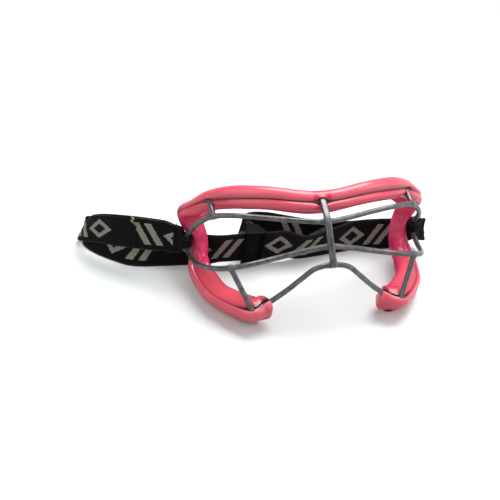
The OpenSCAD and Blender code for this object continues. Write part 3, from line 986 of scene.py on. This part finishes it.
    def notched(self, points: np.ndarray) -> np.ndarray:
        """The notch for the centre bar: points near it move away in an oval of its section.

        With d = ((x/a)^4 + (y/b)^4)^(1/4) in half sizes of the notch, a point moves out to
        (d^6 + 1)^(1/6).

        Args:
            points: The pad's points.

        Returns:
            The points, moved.
        """
        guard = self.guard
        line, outs = guard.centre_line(6)
        near = np.argmin(np.linalg.norm(points[..., None, 1:] - line[:, 1:], axis=-1), axis=-1)
        off, out = points - line[near], outs[near]
        x, y = off[..., 0], np.sum(off * out, axis=-1)
        beyond = off - x[..., None] * ACROSS - y[..., None] * out
        d = (x / (guard.centre_w / 2 + self.clear)) ** 4
        d = (d + (y / (guard.centre_t / 2 + self.clear)) ** 4) ** 0.25
        d = np.maximum(d, 0.05)
        beside = np.linalg.norm(beyond, axis=-1) < guard.wire_r - 0.05
        grown = np.where(beside, (d**6 + 1) ** (1 / 6) / d, 1.0)
        return line[near] + beyond + grown[..., None] * (off - beyond)

    def skin(self) -> Skin:
        """The whole pad, with half-round ends that the nose arch leaves through.

        At an end a point at distance p from the wire moves in to q + (p - q) cos a, with
        q = min(p, end_core), while the ring moves out by end_push * sin a. The groove keeps
        its size. The Lay map holds metres from the mid-plane and the place round the ring, which
        turns to the outer lobe's as the end closes. Under the pad the height z becomes
        (z + sqrt(z^2 + 1)) / 2, so it lies on the table with a soft edge.

        Returns:
            The pad's surface.
        """
        places = self.places()
        table = read_rows(self.table(), places)
        path = table[:, :3]
        t, run = tangents(path), run_lengths(path)
        into = square_to(table[:, 3:6], t)
        middle = np.interp(self.last, places, run)
        x, y = map(self.rounded, self.section(table, places, run))
        a = np.linspace(0, math.pi / 2 - 0.12, 8)[1:]
        turn = np.concatenate([-a[::-1], np.zeros(len(path)), a])[:, None]
        pick = np.clip(np.arange(len(turn)) - len(a), 0, len(path) - 1)
        x, y, path, t, into, run = (values[pick] for values in (x, y, path, t, into, run))
        far = np.hypot(x, y)
        core = np.minimum(far, self.end_core)
        size = (core + (far - core) * np.cos(turn)) / far
        centre = path + t * self.end_push * np.sin(turn)
        points = (centre[:, None] + (x * size)[..., None] * into[:, None]
                  + (y * size)[..., None] * np.cross(t, into)[:, None])
        spots = self.guard.spots
        for side in Side:
            for ends in (("brow", "upper"), ("corner", "lower")):
                points = self.parted(points, *(spots[end] * side.flip for end in ends))
        points = self.notched(points)
        z = points[..., 2]
        points[..., 2] = (z + np.sqrt(z**2 + 1)) / 2
        v = np.linspace(0, 1, x.shape[1] + 1)
        v = v + (0.5 - v) * np.sin(turn) ** 2
        u = np.broadcast_to((run - middle)[:, None] / 1000, v.shape)
        return Skin(points, np.stack([u, v], axis=-1))

    def build(self, silicone: Finish) -> None:
        """Makes the pad.

        Args:
            silicone: Its finish.
        """
        piece = make_piece("face_pad_silicone", [self.skin()], silicone, 80.0)
        seat(piece, Body.GUARD, "face_pad")


# The strap


@dataclass
class Webbing:
    """Elastic webbing as a band standing on edge along rows of sizes.

    Attributes:
        rows: Each [x, y, z, lean, width, thickness, folds], with folds the height of the pleats
            that the webbing takes where it is gathered.
        per_row: Rings for each row.
        start_u: Where the woven pattern starts, in mm.
        place: What turns the band's coordinates to guard millimetres.
        plain: True where no light shape shows.
    """

    rows: np.ndarray
    per_row: int = 8
    start_u: float = 0.0
    place: Callable[[np.ndarray], np.ndarray] = np.asarray
    plain: bool = False

    def __post_init__(self) -> None:
        """Reads the rows, and works out distances, the way up its width and out of its face."""
        self.table = read_rows(self.rows, along(0, len(self.rows) - 1, self.per_row))
        self.run = run_lengths(self.table[:, :3])
        left = unit(np.cross(UP, tangents(self.table[:, :3])))
        lean = np.radians(self.table[:, 3:4])
        self.up = np.cos(lean) * UP - np.sin(lean) * left
        self.out = np.cross(self.up, np.cross(left, UP))

    def profile(self, n_flat: int = 18, n_edge: int = 5) -> np.ndarray:
        """The section: two flat faces joined by half-round edges.

        Args:
            n_flat: Points on a face.
            n_edge: Points on an edge.

        Returns:
            Places across the width from -1 to 1, through the thickness from -1 to 1, past the
            edges from -1 to 1, and the cloth coordinate across, in widths, with 2 added on
            the back face.
        """
        flat, none, one = np.linspace(1, -1, n_flat), np.zeros(n_flat), np.ones(n_edge)
        turn = np.linspace(0, math.pi, n_edge + 2)[1:-1]
        return np.hstack([
            [flat, none - 1, none, (flat + 1) / 2],
            [-one, -np.cos(turn), -np.sin(turn), 0 * one],
            [-flat, none + 1, none, 2 + (1 - flat) / 2],
            [one, np.cos(turn), np.sin(turn), 2 * one]])

    def skin(self, first: int = 0, last: int | None = None) -> Skin:
        """The band's surface between two rows, with its cloth coordinates.

        A point is centre + (width / 2) a up + (thickness / 2 + ripple + pleat) o out, with
        ripple = 0.12 sin(run / 7.3) a^2 and pleat = folds * cos(3.2 pi a). Where plain, the
        cloth coordinate goes to and fro between two light shapes, so that none shows.

        Args:
            first: The row that it starts at.
            last: The row that it ends at, or None for the last one.

        Returns:
            The surface.
        """
        table, run = self.table, self.run
        across, through, edge, lay_v = self.profile()
        half_t = table[:, 5:6] / 2
        half_w = table[:, 4:5] / 2 - half_t
        a = across * half_w + edge * half_t
        ripple = 0.12 * np.sin(run / 7.3)[:, None] * across**2
        pleat = table[:, 6:7] * np.cos(3.2 * math.pi * across)
        o = through * half_t + ripple + pleat
        points = self.place(table[:, None, :3] + a[..., None] * self.up[:, None]
                            + o[..., None] * self.out[:, None])
        points[..., 2] = np.maximum(points[..., 2], 0.0)
        reading = 44 + np.abs((run + 5) % 10 - 5) if self.plain else run + self.start_u
        lay = np.stack(np.broadcast_arrays((reading / 1000)[:, None],
                                           STRAP_WIDTH / 1000 * np.append(lay_v, 2.0)), axis=-1)
        last = len(self.rows) - 1 if last is None else last
        kept = slice(first * self.per_row, last * self.per_row + 1)
        return Skin(points[kept], lay[kept])

    def on_face(self, run: np.ndarray, across: np.ndarray, face: int, lift: float
                ) -> np.ndarray:
        """Points lift mm above a face.

        Args:
            run: Distances along the webbing.
            across: Places across it, in mm from its middle.
            face: -1 for its right face, 1 for its left face.
            lift: Height above the face.

        Returns:
            Guard points, one for each distance.
        """
        values = np.hstack([self.table[:, :3], self.up, self.out, self.table[:, 5:6]])
        at = read_along(run, self.run, values)
        aside = face * (at[:, 9:] / 2 + lift)
        return self.place(at[:, :3] + across[:, None] * at[:, 3:6] + aside * at[:, 6:9])


@dataclass
class Stitching:
    """Sewing thread on webbing: rows of single stitches and dense zigzag bar tacks.

    Attributes:
        thread_r: Radius of the thread.
        stitch_l: Length of a stitch, and pitch the distance from one to the next.
        swing: How far a zigzag goes to either side, and zigzag the length of one turn of it.
    """

    thread_r: float = 0.3
    stitch_l: float = 2.4
    pitch: float = 3.1
    swing: float = 1.1
    zigzag: float = 0.9

    def row(self, web: Webbing, start: tuple[float, float], end: tuple[float, float],
            face: int) -> list[Skin]:
        """A row of stitches that each rise as sqrt(sin(pi s)) out of the webbing and dive back.

        Args:
            web: The webbing.
            start: Where the row starts, as distances along and across the webbing.
            end: Where it ends.
            face: The face that it lies on.

        Returns:
            The stitches.
        """
        a, b = np.array(start, float), np.array(end, float)
        length = float(np.linalg.norm(b - a))
        count = max(int(length / self.pitch), 1)
        s, skins = np.linspace(0, 1, 9), []
        for k in range(count):
            first = (k + 0.5) * length / count - self.stitch_l / 2
            run, across = (a + (b - a) * ((first + s * self.stitch_l) / length)[:, None]).T
            low, high = (web.on_face(run, across, face, lift * self.thread_r)
                         for lift in (-1.0, 0.6))
            path = low + (high - low) * (np.sin(math.pi * s) ** 0.5)[:, None]
            skins.append(Skin(round_rings(path, self.thread_r, high[4] - low[4], 8)))
        return skins

    def tack(self, web: Webbing, run: float, half: float, face: int) -> Skin:
        """A zigzag across the webbing: run + swing * triangle(across / zigzag).

        Args:
            web: The webbing.
            run: Its distance along the webbing.
            half: Half its length.
            face: The face that it lies on.

        Returns:
            The thread.
        """
        across = np.linspace(-half, half, int(2 * half / self.zigzag * 8) + 1)
        wave = 2 * np.abs(2 * ((across + half) / self.zigzag % 1) - 1) - 1
        path = web.on_face(run + self.swing * wave, across, face, self.thread_r * 0.7)
        return Skin(round_rings(path, self.thread_r, np.array([0.2, 0.1, 1.0]), 8))


@dataclass
class Slide:
    """The adjuster: two front rails, two side plates and a middle bar behind the webbing.

    Its own coordinates run along the strap, out of the strap's back, and up its width.

    Attributes:
        length: Length along the strap.
        rail_t: Thickness of a front rail, and rail_w its width.
        side_t: Thickness of a side plate.
        bar_d: Diameter of the middle bar.
        clear: Clearance to the webbing, which is strap_w wide and strap_t thick.
        end_reach: Reach of the sewn end from the middle bar, at end_angle to the strap, and
            end_gap half the distance between its legs.
        lean: Lean of the strap's run there.
        mid: Where on the run its middle is, in plan.
        seat_height: The height of its middle while its lowest front corner is on the table.
    """

    length: float = 14.5
    rail_t: float = 2.2
    rail_w: float = 2.6
    side_t: float = 2.0
    bar_d: float = 2.6
    clear: float = 0.3
    strap_t: float = 1.5
    strap_w: float = STRAP_WIDTH
    end_reach: float = 9.0
    end_gap: float = 0.9
    end_angle: float = 112.0
    lean: float = 10.0
    mid: tuple[float, float] = (-31.0, 41.2)
    seat_height: float = 15.139

    @property
    def half_h(self) -> float:
        """Half the slide's height."""
        return self.strap_w / 2 + self.clear + self.side_t

    @property
    def front(self) -> float:
        """The front face's place in front of the webbing's middle."""
        return -(self.strap_t / 2 + self.clear + self.rail_t)

    @property
    def bar_y(self) -> float:
        """The middle bar's place behind the webbing's middle."""
        return self.strap_t * 1.5 + self.clear * 2 + self.bar_d / 2

    def to_guard(self, points: np.ndarray) -> np.ndarray:
        """Slide coordinates to guard millimetres: leaned about the strap's run."""
        y, z = turned(points[..., 1], points[..., 2], self.lean)
        return np.stack([self.mid[0] + points[..., 0], self.mid[1] + y, self.seat_height + z],
                        axis=-1)

    def on_end(self, points: np.ndarray) -> np.ndarray:
        """Places [reach, aside, height] on the sewn end to guard millimetres."""
        x, y = turned(points[..., 0], points[..., 1], self.end_angle)
        return self.to_guard(np.stack([x, self.bar_y + y, points[..., 2]], axis=-1))

    def slab(self, outline: np.ndarray, low: float, high: float, edge: float = 0.55) -> Skin:
        """A plate with an outline, its corners cut round and its edges rolled over.

        Corner cutting puts points a quarter and three quarters along each side, three times.
        At an angle a round the edge a ring is edge * (1 - cos a) inside the outline.

        Args:
            outline: Corners in the slide's first two coordinates.
            low: The height of its lower face.
            high: The height of its upper face.
            edge: Radius of the rolled edge.

        Returns:
            The plate.
        """
        for _ in range(3):
            after = np.roll(outline, -1, axis=0)
            outline = np.stack([0.75 * outline + 0.25 * after, 0.25 * outline + 0.75 * after],
                               axis=1).reshape(-1, 2)
        a = np.linspace(math.pi / 2, 0, 5)
        rise, inset = edge * (1 - np.sin(a)), edge * (1 - np.cos(a))
        z = np.concatenate([low + rise, (high - rise)[::-1]])
        inset = np.concatenate([inset, inset[::-1]])
        middle = (outline.min(axis=0) + outline.max(axis=0)) / 2
        off = outline - middle
        size = 1 - inset[:, None] / np.linalg.norm(off, axis=1)
        plan = middle + off * size[..., None]
        height = np.broadcast_to(z[:, None, None], (*plan.shape[:2], 1))
        return Skin(self.to_guard(np.concatenate([plan, height], axis=2)))

    def plate(self) -> np.ndarray:
        """A side plate's outline: wide at the front, narrow round the middle bar.

        Returns:
            Its corners, along the strap and out of its back.
        """
        half, rail, rear = self.length / 2, self.front + self.rail_t, self.bar_y + self.bar_d / 2
        right = np.array([[half - 0.6, self.front], [half, self.front + 0.6], [half, rail],
                          [self.bar_d, rear + 0.3], [self.bar_d - 0.6, rear + 0.6]])
        return np.vstack([right * [-1, 1], right[::-1]])[::-1]

    def build(self, acetal: Finish, elastic: Finish, dark_thread: Finish) -> None:
        """Makes the slide and the strap end sewn round its middle bar.

        Args:
            acetal: The slide's finish.
            elastic: The webbing's.
            dark_thread: The stitches'.
        """
        half, top = self.length / 2, self.half_h
        skins = [self.slab(self.plate(), -top, -top + self.side_t),
                 self.slab(self.plate(), top - self.side_t, top)]
        corners = np.array([[0, 0], [self.rail_w, 0], [self.rail_w, self.rail_t],
                            [0, self.rail_t]])
        for left in (-half, half - self.rail_w):
            rail = corners * 0.98 + corners.mean(axis=0) * 0.02 + [left, self.front]
            skins.append(self.slab(rail, -top + 0.4, top - 0.4, 0.3))
        rod = self.to_guard(self.bar_y * np.array([0.0, 1.0, 0.0])
                            + np.linspace(1 - top, top - 1, 12)[:, None] * UP)
        skins.append(Skin(round_rings(rod, self.bar_d / 2, ACROSS, 24)))
        seat(make_piece("adjuster_slide_moulded", skins, acetal), Body.ADJUSTER,
             "adjuster_slide")
        self.build_end(elastic, dark_thread)

    def build_end(self, elastic: Finish, dark_thread: Finish) -> None:
        """Makes the strap end round the middle bar, and the stitches that hold it.

        Args:
            elastic: The webbing's finish.
            dark_thread: The stitches'.
        """
        bend = (self.bar_d + self.strap_t) / 2 + self.clear
        r, gap = self.end_reach, self.end_gap
        leg = [(r, gap, 1), (r * 0.8, gap, 1), (r * 0.6, gap * 1.2, 1), (r * 0.3, bend * 0.9, 1)]
        plan = round_a_bar(leg, bend, np.arange(90, 271, 22.5))[:, :2]
        sizes = [[0, 0, self.strap_w - 1, self.strap_t, 0]] * len(plan)
        web = Webbing(np.hstack([plan, sizes]), 6, 4.0, self.on_end)
        seat(make_piece("adjuster_sewn_end", [web.skin()], elastic), Body.ADJUSTER_END,
             "adjuster_loop")
        half = self.strap_w / 2 - 2
        skins = []
        for run in (1.2, web.run[-1] - 1.2, 4.2, web.run[-1] - 4.2):
            skins += Stitching().row(web, (run, -half), (run, half), -1)
        seat(make_piece("adjuster_end_stitches", skins, dark_thread), Body.ADJUSTER_END)


class LoopSizes(NamedTuple):
    """One side's loop: drop below the bar, narrowing, narrowing of its tail, and half its gap."""

    drop: float
    narrow: float
    tail: float
    gap: float


@dataclass
class HeadStrap:
    """The webbing from temple bar to temple bar, its two loops and its returning layer.

    The tables hold rows [x, y, height of the lower edge, lean, how much narrower it is gathered].

    Attributes:
        guard: The wires that it hangs on.
        slide: The slide that it runs through.
        bunch_t: Thickness of the webbing where it bunches round a temple bar.
        reach: Reach of the loops from the bars, and angle their angle to the guard's width.
        clear: Clearance between the webbing and what it turns round.
        run_half: Half the straight length of the run that the slide sits on.
        pattern_start: Where the woven pattern starts on the main run.
        return_start: Where it starts on the returning layer.
        tack_run: Where on the main run the bar tack is, and tack_half half its length.
    """

    guard: WireGuard
    slide: Slide
    bunch_t: float = 2.0
    reach: float = 8.0
    angle: float = 22.0
    clear: float = 0.3
    run_half: float = 11.0
    pattern_start: float = 14.8
    return_start: float = 40.0
    tack_run: float = 25.4
    tack_half: float = 11.4

    loops = {Side.LEFT: LoopSizes(-1.5, 3.0, 5.0, 1.65), Side.RIGHT: LoopSizes(4.0, 7.0, 0.0, 2.25)}
    lobe = [
        (-90, 40.5, 17.2, 0, 1.6), (-97, 42.6, 16.8, 0, 0.6), (-105, 46, 16.1, 0, 0.3),
        (-113, 50.4, 14.9, 0, 0.5), (-120, 55.3, 13.2, 0, 0.8), (-126.4, 61.4, 11.2, 1, 2),
        (-131.5, 67.2, 8.9, 5, 4), (-135.2, 73, 6, 16, 6.4), (-137, 78.6, 3, 24, 8.4),
        (-136, 82, 1.4, 14, 8.4), (-133.6, 82.2, 0.4, -12, 7), (-131.8, 78.8, 0, -34, 5),
        (-127.8, 73.2, 0, -36, 2), (-122.8, 66.8, 0, -30, 0), (-116.6, 60, 0, -23, 0),
        (-109.6, 53.4, 0, -15, 0), (-101, 50.2, 0, -9, 0), (-92, 48.8, 0, -6, 0),
        (-84, 47.6, 0, -4, 0), (-73, 46.2, 0, 0, 0), (-62, 43.2, 1, 2, 0), (-54, 41.2, 2.8, 10, 0)]
    bulge = [
        (-9, 41.2, 2.8, 10, 0), (3, 40.8, 0, 18, 0), (15, 42.7, 0, 14, 0), (28, 46.1, 0, 8, 0),
        (41, 49, 0, 2, 0), (55, 49.2, 0, 0, 0), (68, 48.4, 0, 0, 0), (75.5, 48, 2, 2, 2),
        (81, 47, 5, 8, 4.5), (83.9, 44.9, 9, 6, 6.5)]
    back_layer = [
        (87.8, 40.6, 11.4, -14, 7), (88.2, 45, 9, -17, 6.5), (85.6, 49.2, 6, -10, 5),
        (79, 50.6, 3, -3, 3.5), (70, 50.8, 0.8, 0, 2.5), (57, 51.6, 0, 0, 2), (41, 51.8, 0, 0, 2),
        (28, 51.4, 0, 0, 1.5), (16, 52.6, 0, 0, 1), (4, 56.6, 0, 0, 0), (-6, 61, 0, 0, 0),
        (-15, 64.6, 0, 0, 0), (-24, 66.4, 0, 0, 0), (-29.6, 65, 0, 2, 0), (-32.6, 60, 0.6, 6, 0)]

    def standing(self, rows: list[tuple[float, ...]]) -> np.ndarray:
        """Turns rows of a table to webbing rows, with pleats where more than 2 mm is gathered.

        Args:
            rows: The table.

        Returns:
            The webbing rows.
        """
        x, y, foot, lean, gathered = np.array(rows, float).T
        w = self.slide.strap_w - gathered
        return np.column_stack([x, y, foot + w / 2 * np.cos(np.radians(lean)), lean, w,
                                np.full_like(x, self.slide.strap_t),
                                0.035 * np.clip(gathered - 2, 0, 5)])

    def leg_place(self, side: Side, reach: np.ndarray, aside: np.ndarray
                  ) -> tuple[np.ndarray, np.ndarray]:
        """Places along and beside a loop as guard x and y."""
        x, y = turned(reach, aside, self.angle)
        return side * (self.guard.bar_x + x), self.guard.bar_y + y

    def sewn_row(self, side: Side, face: int, overlap: float, folds: float) -> list[float]:
        """The webbing row at the end of a loop's leg.

        Args:
            side: The loop's side.
            face: 1 for its far leg and -1 for its near one.
            overlap: How far the row lies inside the loop.
            folds: The height of its pleats.

        Returns:
            The row.
        """
        size = self.loops[side]
        x, y = self.leg_place(side, self.reach - overlap, face * size.gap)
        return [x, y, self.guard.bar_z - size.drop, 0, self.slide.strap_w - size.narrow,
                self.slide.strap_t, folds]

    def loop_rows(self, side: Side) -> np.ndarray:
        """A loop round its temple bar, bunched there and spread at its ends.

        Args:
            side: The loop's side.

        Returns:
            Its webbing rows.
        """
        size, guard, strap_t = self.loops[side], self.guard, self.slide.strap_t
        bend = guard.wire_r + self.clear + self.bunch_t / 2
        leg = [(self.reach, size.gap, 1), (self.reach * 0.8, size.gap, 0.97),
               (self.reach * 0.6, size.gap * 1.05, 0.94),
               (self.reach * 0.4, max(size.gap, bend * 0.85), 0.76),
               (guard.wire_r * 0.8, bend, 0.14)]
        reach, aside, s = round_a_bar(leg, bend, np.arange(112.5, 250, 22.5)).T
        bunch_w = guard.bar_l - 2 * self.clear
        w = bunch_w + (self.slide.strap_w - size.narrow - bunch_w) * s - size.tail * s * (aside > 0)
        return np.column_stack([*self.leg_place(side, reach, aside), guard.bar_z - size.drop * s,
                                0 * s, w, self.bunch_t + (strap_t - self.bunch_t) * s,
                                0.3 * s * (1 - s)])

    def webbing_rows(self) -> np.ndarray:
        """The main run from the left loop to the right loop, straight where the slide sits.

        Returns:
            Its webbing rows.
        """
        slide = self.slide
        middle = [[slide.mid[0] + u, slide.mid[1], slide.seat_height, slide.lean, slide.strap_w,
                   slide.strap_t, 0] for u in (-self.run_half, 0, self.run_half)]
        return np.vstack([self.sewn_row(Side.LEFT, -1, 0.4, 0), self.standing(self.lobe), middle,
                          self.standing(self.bulge), self.sewn_row(Side.RIGHT, 1, 0.2, 0.1)])

    def return_rows(self) -> np.ndarray:
        """The layer from the right loop back to the slide.

        Returns:
            Its webbing rows.
        """
        slide = self.slide
        tail = [[*slide.on_end(np.array([slide.end_reach + past, slide.end_gap, 0.0])),
                 -slide.lean * lean, slide.strap_w - 1, slide.strap_t, 0]
                for past, lean in ((3, 0.9), (-0.4, 1))]
        return np.vstack([self.sewn_row(Side.RIGHT, -1, 0.2, 0.1),
                          self.standing(self.back_layer), tail])

    def build(self, elastic: Finish, thread: Finish, dark_thread: Finish) -> None:
        """Makes the webbing in lengths. A length that runs from one body to another stays where it
        is and rides on neither.

        Args:
            elastic: The webbing's finish.
            thread: The loose thread's.
            dark_thread: The stitches'.
        """
        main = Webbing(self.webbing_rows(), start_u=self.pattern_start)
        back = Webbing(self.return_rows(), start_u=self.return_start)
        m, b = len(main.rows) - 1, len(back.rows) - 1
        lengths = [
            ("strap_left_end", main, 3, 0, Body.GUARD, Body.LEFT_LOOP),
            ("strap_near_layer", main, 3, m - 4, Body.GUARD, Body.GUARD),
            ("strap_right_end", main, m - 4, m, Body.GUARD, Body.RIGHT_LOOP),
            ("strap_return_turn", back, 5, 0, Body.GUARD, Body.RIGHT_LOOP),
            ("strap_return_layer", back, 5, b - 4, Body.GUARD, Body.ADJUSTER),
            ("strap_return_end", back, b - 4, b, Body.ADJUSTER, Body.ADJUSTER_END),
        ]
        for name, web, row, end_row, base, other in lengths:
            node = "strap_webbing" if web is main else "strap_return"
            piece = make_piece(name, [web.skin(min(row, end_row), max(row, end_row))], elastic)
            if other is base:
                seat(piece, base, node)
                continue
            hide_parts(node)
            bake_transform(piece)
            log.info("%s bends from %s to %s for %s", name, base.value, other.value, node)
        self.build_loops(elastic, dark_thread)
        self.build_tack(main, thread, dark_thread)

    def build_loops(self, elastic: Finish, dark_thread: Finish) -> None:
        """Makes both loops and the stitches at their ends.

        Args:
            elastic: The webbing's finish.
            dark_thread: The stitches'.
        """
        for side, body in zip(Side, (Body.LEFT_LOOP, Body.RIGHT_LOOP)):
            node = f"{side.word}_strap_loop"
            web = Webbing(self.loop_rows(side)[::side.value], 6, plain=True)
            seat(make_piece(node + "_webbing", [web.skin()], elastic), body, node)
            half = web.rows[0][4] / 2 - 1.5
            skins = []
            for near in (0.9, web.run[-1] - 0.9):
                for face in (-1, 1):
                    skins += Stitching().row(web, (near, -half), (near, half), face)
            seat(make_piece(node + "_stitches", skins, dark_thread), body)

    def build_tack(self, main: Webbing, thread: Finish, dark_thread: Finish) -> None:
        """Makes the bar tack that ends the doubled webbing, and the thread's loose tail.

        Args:
            main: The main run.
            thread: The tail's finish.
            dark_thread: The stitches'.
        """
        sewing, edge = Stitching(), self.tack_half - 0.4
        skins = [sewing.tack(main, self.tack_run, self.tack_half, face) for face in (-1, 1)]
        for across in (-edge, edge):
            skins += sewing.row(main, (12, across), (self.tack_run - 1, across), 1)
        seat(make_piece("strap_bar_tack", skins, dark_thread), Body.GUARD)
        s = np.linspace(0, 1, 33)
        run = self.tack_run - 0.2 + 2.6 * s - 1.3 * np.sin(3 * math.pi * s)
        path = main.on_face(run, 6.6 + 5.6 * s, 1, 0.55)
        tail = Skin(round_rings(path, 0.5, np.array([0.1, -1.0, 0.3]), 8))
        seat(make_piece("strap_thread_tail", [tail], thread), Body.GUARD)


# The room


@dataclass
class Studio:
    """A white floor that runs up into a white backdrop, broad soft lamps, and the camera.

    Attributes:
        yaw: The camera's turn to the right, pitch its tilt down and roll its lean.
        focal_px: Its focal length in pixels of a picture frame_px wide.
        centre_px: Where target shows in the picture.
        distance: From target to the camera, in mm.
        target: The guard point that it looks at.
        lamps: Name, place and diameter in metres, and power in watts, of each round lamp.
    """

    yaw: float = 17.84
    pitch: float = 35.763
    roll: float = 6.599
    frame_px: float = 500.0
    sensor_mm: float = 36.0
    focal_px: float = 1073.53
    centre_px: tuple[float, float] = (316.587, 240.152)
    distance: float = 670.595
    target: tuple[float, float, float] = (0.0, 10.0, 40.0)
    floor_half: float = 14.0
    lamps = (("Top softbox", (0.34, 0.36, 1.15), 1.05, 22.0),
             ("Left strip", (-0.8, -0.5, 1.0), 1.1, 4.0),
             ("Right strip", (1.0, -0.4, 0.8), 0.8, 3.0))

    def put(self, data: bpy.types.ID, place: np.ndarray, right: np.ndarray, ahead: np.ndarray
            ) -> bpy.types.Object:
        """Puts a camera or a lamp into the room.

        Args:
            data: The camera's or the lamp's data.
            place: Its place, in metres.
            right: The direction to its right.
            ahead: The direction that it looks or shines in.

        Returns:
            The new object.
        """
        up = np.cross(right, ahead)
        turn = Matrix([[right[k], up[k], -ahead[k]] for k in range(3)]).to_4x4()
        thing = bpy.data.objects.new(data.name, data)
        thing.matrix_world = Matrix.Translation(place) @ turn
        bpy.context.scene.collection.objects.link(thing)
        return thing

    def build_camera(self) -> None:
        """Puts the camera where the photograph was taken from, for a square frame."""
        yaw, pitch, roll = (math.radians(v) for v in (self.yaw, self.pitch, self.roll))
        ahead = np.array([math.sin(yaw) * math.cos(pitch), math.cos(yaw) * math.cos(pitch),
                          -math.sin(pitch)])
        level = np.array([math.cos(yaw), -math.sin(yaw), 0.0])
        right = math.cos(roll) * level + math.sin(roll) * np.cross(level, ahead)
        x, y = (np.array(self.centre_px) - self.frame_px / 2) * self.distance / self.focal_px
        eye = self.target - right * x + np.cross(right, ahead) * y - ahead * self.distance
        data = bpy.data.cameras.new("Camera")
        data.sensor_width = self.sensor_mm
        data.lens = self.focal_px * self.sensor_mm / self.frame_px
        data.clip_start, data.clip_end = 0.01, 20.0
        bpy.context.scene.camera = self.put(data, to_row(eye), right, ahead)

    def build_lamps(self) -> None:
        """One broad softbox above and behind, and one weaker lamp at each side."""
        for name, place, size, power in self.lamps:
            data = bpy.data.lights.new(name, "AREA")
            data.shape, data.size, data.energy = "DISK", size, power
            ahead = unit(np.array([0.0, 0.0, 0.02]) - np.array(place))
            self.put(data, place, unit(np.cross(ahead, UP + np.array([0.0, 0.01, 0.0]))), ahead)

    def build_floor(self) -> None:
        """A level white floor just under the table plane.

        It is paper near the guard, so that shadows show, and glows white further out. What the
        lamps bounce off is greyer than what the camera sees.
        """
        size = self.floor_half
        mesh = bpy.data.meshes.new("Floor")
        mesh.from_pydata([(-size, -size, 0), (size, -size, 0), (size, size, 0), (-size, size, 0)],
                         [], [(0, 1, 2, 3)])
        floor = bpy.data.objects.new("Floor", mesh)
        floor.location.z = -0.00005
        bpy.context.scene.collection.objects.link(floor)
        material = bpy.data.materials.new("White paper floor")
        material.use_nodes = True
        tree = material.node_tree
        tree.nodes.clear()
        path = add(tree, "LightPath")
        seen = path.outputs["Is Camera Ray"]
        sheet = add(tree, "Mix", {"Factor": seen, "A": linear("#c4c8c8"),
                                  "B": linear("#eef4f3")}, data_type="RGBA")
        direct = add(tree, "Math", [seen, path.outputs["Is Glossy Ray"]], operation="MAXIMUM")
        far = add(tree, "VectorMath", [add(tree, "TexCoord").outputs["Object"]],
                  operation="LENGTH")
        white = add(tree, "MapRange", [far, 0.16, 0.6, 0.1, 1.0],
                    interpolation_type="SMOOTHSTEP")
        share = add(tree, "Math", [direct, white], operation="MULTIPLY")
        mix = add(tree, "MixShader", [share, add(tree, "BsdfDiffuse", [sheet]),
                                      add(tree, "Emission", [linear("#ffffff"), 1.0])])
        add(tree, "OutputMaterial", [mix]).is_active_output = True
        mesh.materials.append(material)

    def build_world(self) -> None:
        """A pale room: white to the camera, soft fill for the rest, darker above in mirrors."""
        world = bpy.data.worlds.new("Pale room")
        world.use_nodes = True
        tree = world.node_tree
        path = add(tree, "LightPath")
        way = add(tree, "SeparateXYZ", [add(tree, "TexCoord").outputs["Generated"]])
        dim = add(tree, "MapRange", [way.outputs["Z"], 0.05, 0.5, 1.0, 0.16],
                  interpolation_type="SMOOTHSTEP")
        mirror = add(tree, "Mix", {"Factor": path.outputs["Is Glossy Ray"], "A": 0.3, "B": dim})
        strength = add(tree, "Math", [mirror, path.outputs["Is Camera Ray"]],
                       operation="MAXIMUM")
        plug(tree.nodes["Background"], {"Color": linear("#ffffff"), "Strength": strength})
        bpy.context.scene.world = world

    def build(self) -> None:
        """Sets up the whole room."""
        self.build_camera()
        self.build_floor()
        self.build_lamps()
        self.build_world()
        bpy.context.scene.view_settings.view_transform = "Standard"


def main() -> None:
    """Builds the room and every piece of the eye guard."""
    Studio().build()
    elastic = WovenElastic().finish()
    black = BondedThread("Black polyester thread", "#0c0c10", "#050507").finish()
    guard, slide = WireGuard(), Slide()
    guard.build(CoatedSteelWire().finish())
    FacePad(guard).build(MouldedSilicone().finish())
    HeadStrap(guard, slide).build(elastic, BondedThread().finish(), black)
    slide.build(SatinAcetal().finish(), elastic, black)
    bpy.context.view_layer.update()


if __name__ == "__main__":
    main()
